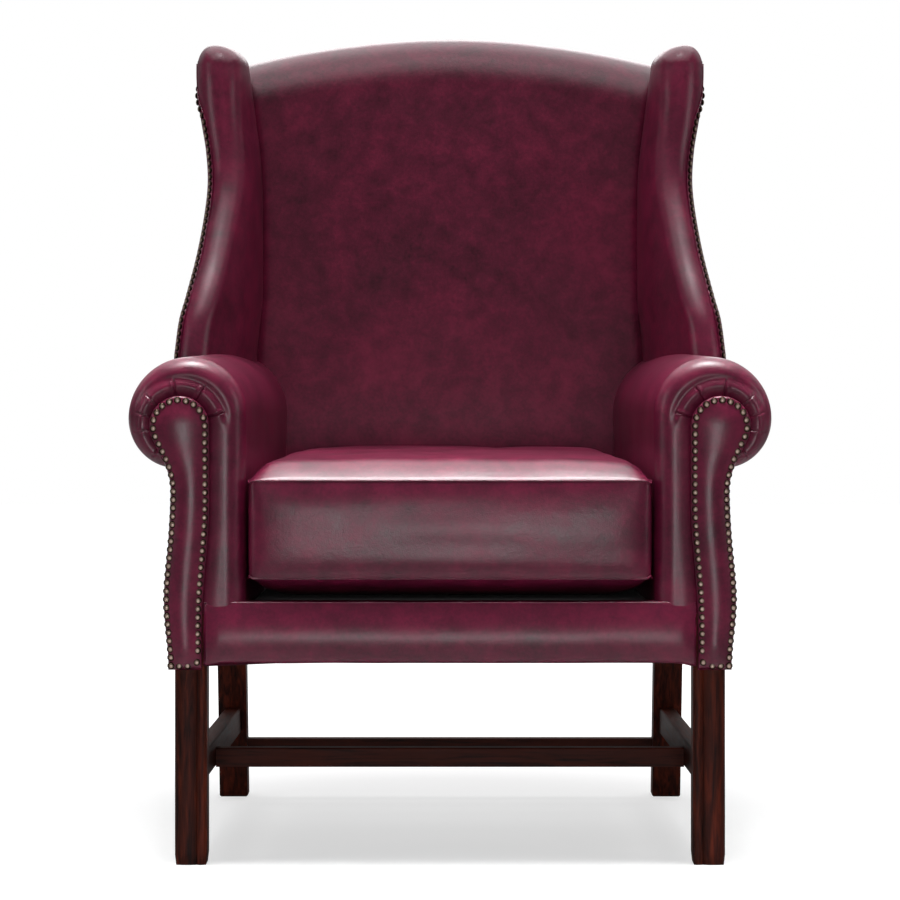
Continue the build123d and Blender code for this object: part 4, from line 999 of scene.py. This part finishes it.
def cushion_place(point):
    """Puts a point of a unit cube, centred on zero, on the cushion's sewn shape."""
    height = seam_bottom + (seam_top - seam_bottom) * (point.z + 0.5)
    rear = cushion_rear(height)
    length = rear - cushion_front
    share = point.y + 0.5
    half = half_front + (half_rear - half_front) * share
    x = 2 * half * point.x
    y = cushion_front + length * share
    in_x = half - plan_corner
    in_front = cushion_front + plan_corner
    in_rear = rear - plan_corner
    hub = Vector((min(max(x, -in_x), in_x), min(max(y, in_front), in_rear)))
    out = Vector((x, y)) - hub
    height -= 2 * point.z * corner_drop * smooth(min(abs(out.x), abs(out.y)) / plan_corner)
    if out.length > plan_corner:
        spot = hub + out.normalized() * plan_corner
        x, y = spot.x, spot.y
    return Vector((x, y, height))


# %% Cushion cloth
def cushion_form():
    """The sewn box before it is filled, as a mesh with its seams creased, with the list of its seam points
    and each point's place on the unit cube.
    """
    bm = bmesh.new()
    bmesh.ops.create_cube(bm, size=1.0)
    bmesh.ops.subdivide_edges(bm, edges=bm.edges[:], cuts=cushion_cuts, use_grid_fill=True)
    bm.verts.index_update()
    on_seam = {v for v in bm.verts if abs(v.co.z) > on_face and max(abs(v.co.x), abs(v.co.y)) > on_face}
    seams = [v.index for v in bm.verts if v in on_seam]
    sides = [v.co.copy() for v in bm.verts]
    crease = bm.edges.layers.float.new("crease_edge")
    for edge in bm.edges:
        if edge.verts[0] in on_seam and edge.verts[1] in on_seam:
            edge[crease] = 1.0
    for vert in bm.verts:
        vert.co = cushion_place(vert.co)
    bmesh.ops.recalc_face_normals(bm, faces=bm.faces)
    return bm, seams, sides


cushion_bm, seam_verts, unit_places = cushion_form()
cushion = finish_mesh("seat_cushion", cushion_bm, leather, "seat_cushion")
start_places = [vert.co.copy() for vert in cushion.data.vertices]


cloth_settings = {
    "quality": 6,
    "mass": 0.4,
    "tension_stiffness": 5,
    "compression_stiffness": 5,
    "shear_stiffness": 2.5,
    "bending_stiffness": 0.5,
    "shrink_min": -0.04,
    "use_pressure": True,
    "uniform_pressure_force": 12.0,
    "vertex_group_mass": "seams",
    "pin_stiffness": 1.0,
}


def run_cloth(piece, pins, frames):
    """Fills the piece by cloth pressure, with its seams pinned, and returns where its points went."""
    group = piece.vertex_groups.new(name="seams")
    group.add(pins, 1.0, "REPLACE")
    cloth = piece.modifiers.new("fill", "CLOTH")
    for setting, value in cloth_settings.items():
        setattr(cloth.settings, setting, value)
    cloth.settings.effector_weights.gravity = 0.0
    scene = bpy.context.scene
    for number in range(1, frames + 1):
        scene.frame_set(number)
    done = piece.evaluated_get(bpy.context.evaluated_depsgraph_get())
    places = [vert.co.copy() for vert in done.data.vertices]
    scene.frame_set(1)
    piece.modifiers.remove(cloth)
    piece.vertex_groups.remove(group)
    return places


side_cap = 2.5 * mm
front_run, front_power = 48 * mm, 1.6
side_run = 42 * mm
sag = 4 * mm
bottom_run, bottom_front = 140 * mm, 0.6
bulge_shift = 0.36
least_lift = 1e-6
smoothings = 4
filled = run_cloth(cushion, seam_verts, 20)
top_lift = max(place.z - spot.z for place, spot in zip(filled, start_places))
front_lift = max(spot.y - place.y for place, spot in zip(filled, start_places))
side_lift = max(abs(place.x) - abs(spot.x) for place, spot in zip(filled, start_places))
side_lift = max(side_lift, least_lift)
print("cloth lifted the crown by", round(top_lift * 1000, 1), "mm")


def panel_profile(spot):
    """How far a panel has risen to its crown: a round front edge, and tighter sides and rear."""
    rear = cushion_rear(spot.z)
    share = (spot.y - cushion_front) / (rear - cushion_front)
    half = half_front + (half_rear - half_front) * share
    front = 1 - (1 - min(max(spot.y - cushion_front, 0.0), front_run) / front_run) ** front_power
    return front * quarter(half - abs(spot.x), side_run) * quarter(rear - spot.y, side_run)


moves = [place - spot for place, spot in zip(filled, start_places)]
beside = [[] for vert in cushion.data.vertices]
for edge in cushion.data.edges:
    first, second = edge.vertices
    beside[first].append(second)
    beside[second].append(first)
held = set(seam_verts)
for turn in range(smoothings):
    moves = [
        move if number in held else (move + sum((moves[other] for other in near), Vector())) / (1 + len(near))
        for number, (move, near) in enumerate(zip(moves, beside))
    ]
for vert, spot, unit, move in zip(cushion.data.vertices, start_places, unit_places, moves):
    goal = spot.copy()
    if abs(unit.z) > on_face:
        up = 1 if unit.z > 0 else -1
        cloth_share = min(abs(move.z) / top_lift, 1.0)
        rise = panel_profile(spot) * (0.86 + 0.14 * cloth_share)
        waves = sag * noise.noise(Vector((spot.x * 9, spot.y * 14, 2.0))) * rise if up > 0 else 0.0
        sunk = bottom_front + (1 - bottom_front) * smooth((spot.y - cushion_front) / bottom_run)
        fall = (spot.z - cushion_low) * min(rise * 1.1, 1.0) * sunk
        goal.z += crown_cap * rise + waves if up > 0 else -fall
    elif unit.y < -on_face:
        cloth_share = min(abs(move.y) / front_lift, 1.0)
        low = 2 * unit.z + bulge_shift
        bulge = 1 - (abs(low) / (1 + bulge_shift if low > 0 else 1 - bulge_shift)) ** 4
        bulge *= 1 - (2 * unit.x) ** 12
        waves = 0.25 * sag * noise.noise(Vector((spot.x * 5, spot.z * 30, 7.0)))
        goal.y -= (front_cap * (0.85 + 0.15 * cloth_share) + waves) * bulge
    elif abs(unit.x) > on_face:
        goal.x += (1 if unit.x > 0 else -1) * side_cap * min(abs(move.x) / side_lift, 1.0)
    vert.co = goal
cushion.data.update()
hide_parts("cushion_cover", "cushion_core")
finer = cushion.modifiers.new("finer", "SUBSURF")
finer.levels = finer.render_levels = 1

# %% [markdown]
# ### Welts
# Where the border is sewn to the top and bottom panels, the leather is folded into a narrow welt. A thin
# tube that follows each seam stands for it, and it rides with the cushion.

# %% Cushion welts
welt_radius = 1.3 * mm
for level, name in ((0.5, "top"), (-0.5, "bottom")):

    def welt_place(u, v, level=level):
        """A point of the welt: u round the seam and v round the tube."""
        turn = 4 * u
        corner, along = int(min(turn, 3.999)), turn - int(min(turn, 3.999))
        starts = ((-0.5, -0.5), (0.5, -0.5), (0.5, 0.5), (-0.5, 0.5), (-0.5, -0.5))
        (x0, y0), (x1, y1) = starts[corner], starts[corner + 1]
        unit = Vector((x0 + (x1 - x0) * along, y0 + (y1 - y0) * along, level))
        spot = cushion_place(unit)
        out = Vector((unit.x, unit.y, 0)).normalized()
        return spot + (out * cos(2 * pi * v) + Vector((0, 0, 1)) * sin(2 * pi * v)) * welt_radius

    finish_mesh("cushion_welt_" + name, placed_grid(352, 8, welt_place), leather, "seat_cushion")

# %% [markdown]
# ## Seat platform, dust cover and webbing
# Under the cushion the seat is a thin stuffed platform in black cloth. Black cloth also closes the frame
# from below, with its edge turned under, and jute webbing backs the inside back from side to side.

# %% Seat platform
platform_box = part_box("platform_cover")
platform_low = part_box("seat_deck_pad")[0][2]
platform_half = platform_box[1][0]
platform_narrows = 15.2 * mm


def platform_place(u, v):
    """The platform: u across it and v round its section from front to rear and back."""
    front, rear = platform_box[0][1], platform_box[1][1]
    low, high, edge = platform_low, platform_box[1][2], 3 * mm
    parts = (
        ((rear - edge, low), (front + edge, low)),
        ((front + edge, (low + high) / 2), (high - low) / 2, -90, -270),
        ((front + edge, high), (rear - edge, high)),
        ((rear - edge, (low + high) / 2), (high - low) / 2, 90, -90),
    )
    y, z = along_path(parts, (0.42, 0.06, 0.46, 0.06), v)
    half = platform_half - platform_narrows * (y - front) / (rear - front)
    side = 2 * u - 1
    drop = 3 * mm * smooth((abs(side) - 0.97) / 0.03)
    dip = 1.6 * mm * (1 - side * side) * sin(pi * min(max((y - front) / (rear - front), 0), 1))
    return Vector((half * side, y, z - (drop + dip if z > (low + high) / 2 else -drop)))


platform_bm = placed_grid(90, 120, platform_place)
platform = finish_mesh("seat_platform", platform_bm, black_cloth)
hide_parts("platform_cover", "seat_deck_pad")

# %% Dust cover
dust_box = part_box("dust_cover")
dust_rear_half = 289 * mm
dust_hem = 12 * mm


def dust_place(u, v):
    """The dust cover: u across it and v from front to rear, thicker where its hem is turned under."""
    half = dust_box[1][0] + (dust_rear_half - dust_box[1][0]) * v
    x = half * (2 * u - 1)
    y = dust_box[0][1] + (dust_box[1][1] - dust_box[0][1]) * v
    rim = min(half - abs(x), y - dust_box[0][1], dust_box[1][1] - y)
    sag_here = 3 * mm * (1 - (2 * u - 1) ** 4) * sin(pi * v)
    return Vector((x, y, dust_box[0][2] - sag_here - 0.5 * mm * bell(rim - dust_hem / 2, dust_hem * 0.7)))


dust_bm = shell(open_grid(90, 90, dust_place), 0.8 * mm)
dust_cover = finish_mesh("dust_cover_cloth", dust_bm, black_cloth)
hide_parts("dust_cover")

# %% Webbing
webs = [
    (sum(solid, Vector()) / len(solid), max(spot.x for spot in solid))
    for solid in loose_solids("back_webbing")
]
webs.sort(key=lambda web: web[0].z)
up_rake = Vector((0, sin(rake), cos(rake)))
off_rake = Vector((0, -cos(rake), sin(rake)))
for number, (middle, reach) in enumerate(webs, 1):

    def web_place(u, v, middle=middle, reach=reach):
        """A strap of webbing: u along it and v across it, with woven ribs and a slight bow."""
        rib = 0.25 * mm * sin(14 * pi * v)
        bow = 2.5 * mm * (1 - (2 * u - 1) ** 2)
        edge = 0.4 * mm * sin(70 * u + number)
        spot = middle + Vector((reach * (2 * u - 1), 0, 0))
        return spot + up_rake * (50 * mm * (v - 0.5) + edge) + off_rake * (rib - bow)

    strap_bm = shell(open_grid(80, 42, web_place), 1.4 * mm)
    strap = finish_mesh(f"back_web_{number}", strap_bm, jute)
    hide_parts("back_webbing")

# %% [markdown]
# ## Zip
# The cushion's cover opens at the rear: a woven tape with a row of brass teeth down its middle. The teeth
# on the two sides of a closed zip sit in step, so they are set alternately a little up and down.

# %% Zip tape and teeth
zip_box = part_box("cushion_zip")
zip_up = (zip_box[0][2] + zip_box[1][2]) / 2
zip_out = Vector((0, cos(rake), -sin(rake)))
zip_pitch = 3.0 * mm
tape_length, tape_width = 0.4, 24 * mm
teeth_length = 0.376


def zip_place(x, rise, out):
    """A point on the zip: along it, up its tape and out from the cushion's rear border."""
    base = Vector((x, zip_box[0][1] + (zip_box[1][2] - zip_box[0][2]) / 2 * sin(rake) + 0.4 * mm, zip_up))
    return base + up_rake * rise + zip_out * out


def tape_place(u, v):
    """The tape: u along it and v across it."""
    return zip_place(tape_length * (u - 0.5), tape_width * (v - 0.5), 0.6 * mm)


tape_bm = shell(open_grid(160, 16, tape_place), 0.7 * mm)
tape = finish_mesh("zip_tape", tape_bm, black_cloth, "seat_cushion")
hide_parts("cushion_zip")
teeth_bm = bmesh.new()
for number in range(int(teeth_length / zip_pitch)):
    for way in (-1, 1):
        tooth = bmesh.ops.create_cube(teeth_bm, size=1.0)["verts"]
        for vert in tooth:
            x = vert.co.x * 1.3 * mm + (number + 0.25 * way) * zip_pitch - teeth_length / 2
            taper = 1 - 0.25 * (vert.co.z * way + 0.5)
            out = 1.1 * mm + vert.co.y * 1.3 * mm * taper
            vert.co = zip_place(x, (vert.co.z * 3.0 + way) * mm, out)
bmesh.ops.recalc_face_normals(teeth_bm, faces=teeth_bm.faces)
finish_mesh("zip_teeth", teeth_bm, zip_brass, "seat_cushion")

# %% [markdown]
# ## Nails
# The nail heads are many and small, so each is a low dome of a few dozen faces. Their places are read
# from the CAD nails, one loose solid each, and a value on each point tells the brass how near the crown
# it is: the brass paints a highlight on the crown and paints the rim dark, partly as patina and partly as
# shade.

# %% Nail heads
head_radius = 4.75 * mm
head_height = 3.2 * mm


def nail_heads(name, node, facing_way, seat=None):
    """Domed heads over every nail of a CAD node, facing one way or set on the leather by seat."""
    facing_way = Vector(facing_way).normalized()
    bm = bmesh.new()
    crown = bm.verts.layers.float.new("crown")
    for solid in loose_solids(node):
        middle = (Vector(map(min, zip(*solid))) + Vector(map(max, zip(*solid)))) / 2
        top = max(spot.dot(facing_way) for spot in solid)
        base = middle + facing_way * (top - head_height - middle.dot(facing_way))
        way = facing_way
        if seat:
            base, way = seat(base)
        turn = Vector((0, 0, 1)).rotation_difference(way).to_matrix()
        made = bmesh.ops.create_uvsphere(bm, u_segments=10, v_segments=8, radius=head_radius)["verts"]
        below = [vert for vert in made if vert.co.z < -1e-6]
        bmesh.ops.delete(bm, geom=below, context="VERTS")
        kept = [vert for vert in made if vert.is_valid]
        for vert in kept:
            # the crown value: how high on the dome a point lies, which the brass paints as a highlight
            vert[crown] = vert.co.z / head_radius
            vert.co.z *= head_height / head_radius
        rim = {edge for vert in kept for edge in vert.link_edges if edge.is_boundary}
        bmesh.ops.holes_fill(bm, edges=list(rim), sides=0)
        bmesh.ops.rotate(bm, matrix=turn, verts=kept)
        bmesh.ops.translate(bm, vec=base, verts=kept)
    bmesh.ops.recalc_face_normals(bm, faces=bm.faces)
    piece = finish_mesh(name, bm, brass)
    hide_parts(node)
    return piece


def on_wing_hem(base):
    """The place and the way of a nail on the outside wing's hem, at its own height."""
    lobe_base = wing_top + lobe_rise - wing_lobe
    nose, tip = wing_section(base.z)[3:5]
    side = 1 if base.x > 0 else -1
    turn = radians(nail_turn_at(base.z))
    way = Vector((side * cos(turn), -sin(turn), 0))
    tip = Vector((-side * tip[0], tip[1], base.z))
    climb = min(max((base.z - lobe_base) / wing_lobe, 0.0), 0.98)
    lean = sqrt(1 - climb * climb)
    ridge = Vector((side * lobe_lean, 0, 0)) * (1 - lean)
    sunk = 2.4 * mm * smooth((base.z - 990 * mm) / (30 * mm))
    out = (way * lean + Vector((0, 0, climb))).normalized()
    return tip + ridge + way * (nose + hem_thickness) * lean - out * sunk, out


for side in ("left", "right"):
    nail_heads("facing_nails_" + side, "arm_nails_" + side, (0, -1, 0))
    nail_heads("wing_nail_row_" + side, "wing_nails_" + side, (-1, 0, 0), on_wing_hem)
nail_heads("back_nail_row", "back_nails", (0, cos(rake), -sin(rake)))

# %% [markdown]
# ## Wood and springs
# The rest of the frame keeps its solids. Each gets the wood whose grain runs along it, and the hidden
# frame, springs, screws and zip slider get theirs, so the chair can be opened up.

# %% Front legs
leg_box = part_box("front_leg_left")
leg_profile = []
leg_inner, leg_outer = leg_box[1][0], leg_box[0][0]
leg_front, leg_rear = leg_box[0][1], leg_box[1][1]
field_width = 24 * mm
bead_width = 10 * mm
quirk = 2.2 * mm


def leg_face(across):
    """How far the moulded front lies behind its highest line, at a distance from the outer edge."""
    if across < quirk:
        return 2.4 * mm * (1 - across / quirk) + 1.2 * mm
    if across < quirk + field_width:
        share = 2 * (across - quirk) / field_width - 1
        return 1.9 * mm * abs(share) ** 2.4
    if across < 2 * quirk + field_width:
        share = abs(2 * (across - quirk - field_width) / quirk - 1)
        return 3.2 * mm - 1.3 * mm * share
    share = min((across - 2 * quirk - field_width) / bead_width, 1.0) * 2 - 1
    return 0.4 * mm + 2.4 * mm * (1 - sqrt(max(1 - share * share, 0.0)))


front_steps, side_steps = 80, 12
for step in range(front_steps + 1):
    across = (leg_inner - leg_outer) * step / front_steps
    leg_profile.append((leg_outer + across, leg_front + leg_face(across)))
leg_corners = (leg_profile[-1], (leg_inner, leg_rear), (leg_outer, leg_rear), leg_profile[0])
for (x0, y0), (x1, y1) in zip(leg_corners, leg_corners[1:]):
    for step in range(1, side_steps + 1):
        leg_profile.append((x0 + (x1 - x0) * step / side_steps, y0 + (y1 - y0) * step / side_steps))


def leg_place(u, v):
    """The moulded leg: u round its section and v up it, with a small chamfer at the floor."""
    x, y = leg_profile[int(round(u * (len(leg_profile) - 1)))]
    height = leg_box[0][2] + (leg_box[1][2] - leg_box[0][2]) * v
    middle = Vector(((leg_inner + leg_outer) / 2, (leg_front + leg_rear) / 2, height))
    chamfer = 1 - 0.07 * max(1 - v * 24, 0.0)
    return Vector((middle.x + (x - middle.x) * chamfer, middle.y + (y - middle.y) * chamfer, height))


leg_bm = placed_grid(len(leg_profile) - 1, 24, leg_place)
for leg in both_sides(leg_bm, "front_leg_wood", wood_up, ("front_leg",)):
    leg.data.shade_flat()
    smoother = leg.modifiers.new("rounding", "BEVEL")
    smoother.width = 0.5 * mm
    smoother.segments = 1

# %% Finishes for the kept solids
finishes = {
    wood_up: ("front_leg", "rear_leg"),
    wood_deep: ("side_stretcher",),
    wood_across: ("cross_stretcher", "rear_stretcher"),
    beech: ("rail", "post", "frame", "block", "dowel"),
    steel: ("spring", "clip", "screw"),
    zip_brass: ("zip_slider",),
}
for name, node in nodes.items():
    for material, words in finishes.items():
        if any(word in name for word in words):
            node.data.materials.clear()
            node.data.materials.append(material)
            break

# %% [markdown]
# ## Studio
# A plain pale floor and backdrop. A broad weak lamp hangs overhead and a narrow one lights the tops of
# the arms and the cushion; a low one in front draws the long highlights of the upright leather. Weak
# lamps at the sides and behind fill the rest.

# %% Background switch
def background_seen(start, behind):
    """1 for camera and glass rays, and for glossy rays that leave towards the backdrop behind the chair."""
    camera = start.node("LightPath", out="Is Camera Ray")
    glass = start.node("LightPath", out="Is Transmission Ray")
    glossy = start.node("LightPath", out="Is Glossy Ray")
    return (camera + glass + glossy * behind).clamp()


# %% Floor
floor_material, floor_shader, floor_start, floor_place = new_material("studio_floor", Roughness=0.9)
floor_shader.inputs["Base Color"].default_value = (0.42, 0.42, 0.42, 1)
floor_shader.inputs["Emission Strength"].default_value = 1.0
spot_x, spot_y, _ = floor_place.axes()
far = (floor_start.math("SQRT", spot_x * spot_x + spot_y * spot_y) * 1.6 - 0.75).clamp()
behind_floor = ((spot_y - 1.6) * 0.5).clamp()
seen_floor = background_seen(floor_start, behind_floor)
lifted = seen_floor * (0.6 + far * 0.5)
feed(floor_shader, Emission_Color=lifted.mix((0, 0, 0, 1), (1, 1, 1, 1)))
floor_bm = bmesh.new()
bmesh.ops.create_grid(floor_bm, x_segments=1, y_segments=1, size=9.0)
floor_mesh = bpy.data.meshes.new("studio_floor")
floor_bm.to_mesh(floor_mesh)
floor_bm.free()
floor_mesh.materials.append(floor_material)
floor = bpy.data.objects.new("studio_floor", floor_mesh)
bpy.context.scene.collection.objects.link(floor)

# %% World
scene = bpy.context.scene
world = bpy.data.worlds.new("studio")
scene.world = world
world.use_nodes = True
sky = Flow(world.node_tree)
_, way_back, way_up = sky.node("TexCoord", out="Generated").axes()
seen = background_seen(sky, ((way_back - 0.1) * 2.5).clamp() * ((way_up - 0.1) * 2.2).clamp())
dim = sky.node("Background", {"Color": (0.88, 0.9, 0.94, 1), "Strength": 0.13})
white = sky.node("Background", {"Color": (1, 1, 1, 1), "Strength": 1.0})
mixed = sky.node("MixShader", {0: seen, 1: dim, 2: white})
world.node_tree.links.new(mixed.socket, world.node_tree.nodes["World Output"].inputs[0])


# %% Lamps
def area_lamp(name, place, aim, size, watts, spread=180):
    """A soft rectangular lamp at a place, turned towards aim, with its light kept within spread degrees."""
    lamp = bpy.data.lights.new(name, "AREA")
    lamp.shape = "RECTANGLE"
    lamp.size, lamp.size_y = size
    lamp.energy = watts
    lamp.spread = radians(spread)
    holder = bpy.data.objects.new(name, lamp)
    holder.location = place
    holder.rotation_euler = (Vector(aim) - Vector(place)).to_track_quat("-Z", "Y").to_euler()
    scene.collection.objects.link(holder)


area_lamp("over_the_arms", (0, -0.48, 2.4), (0, -0.47, 0.5), (1.8, 0.8), 8, 36)
area_lamp("overhead", (0, 0.25, 3.1), (0, 0.15, 0.5), (3.6, 3.3), 70)
area_lamp("front_level", (0, -6.4, 0.3), (0, 0, 0.45), (1.6, 0.56), 50)
area_lamp("left_side", (-2.6, -1.2, 1.3), (0, 0, 0.6), (0.9, 1.6), 9)
area_lamp("right_side", (2.6, -1.2, 1.3), (0, 0, 0.6), (0.9, 1.6), 9)
area_lamp("behind", (0, 2.6, 2.2), (0, 0, 0.7), (2.0, 1.2), 22)

# %% [markdown]
# ## Camera
# The photograph was taken level, from about four metres in front of the chair, with its horizon above
# the middle of the picture. The lens is 139 mm on a 36 mm sensor.

# %% Camera
camera_distance = 4.3
pixels_per_unit = 3466
horizon_above_middle = 110
picture_width = 900
camera_data = bpy.data.cameras.new("camera")
camera_data.sensor_width = 36
camera_data.lens = 36 * pixels_per_unit / picture_width
camera_data.shift_y = -horizon_above_middle / picture_width
camera = bpy.data.objects.new("camera", camera_data)
camera.location = (0, front_y - camera_distance, 652.6 * mm)
camera.rotation_euler = (pi / 2, 0, 0)
scene.collection.objects.link(camera)
scene.camera = camera
scene.view_settings.view_transform = "Standard"
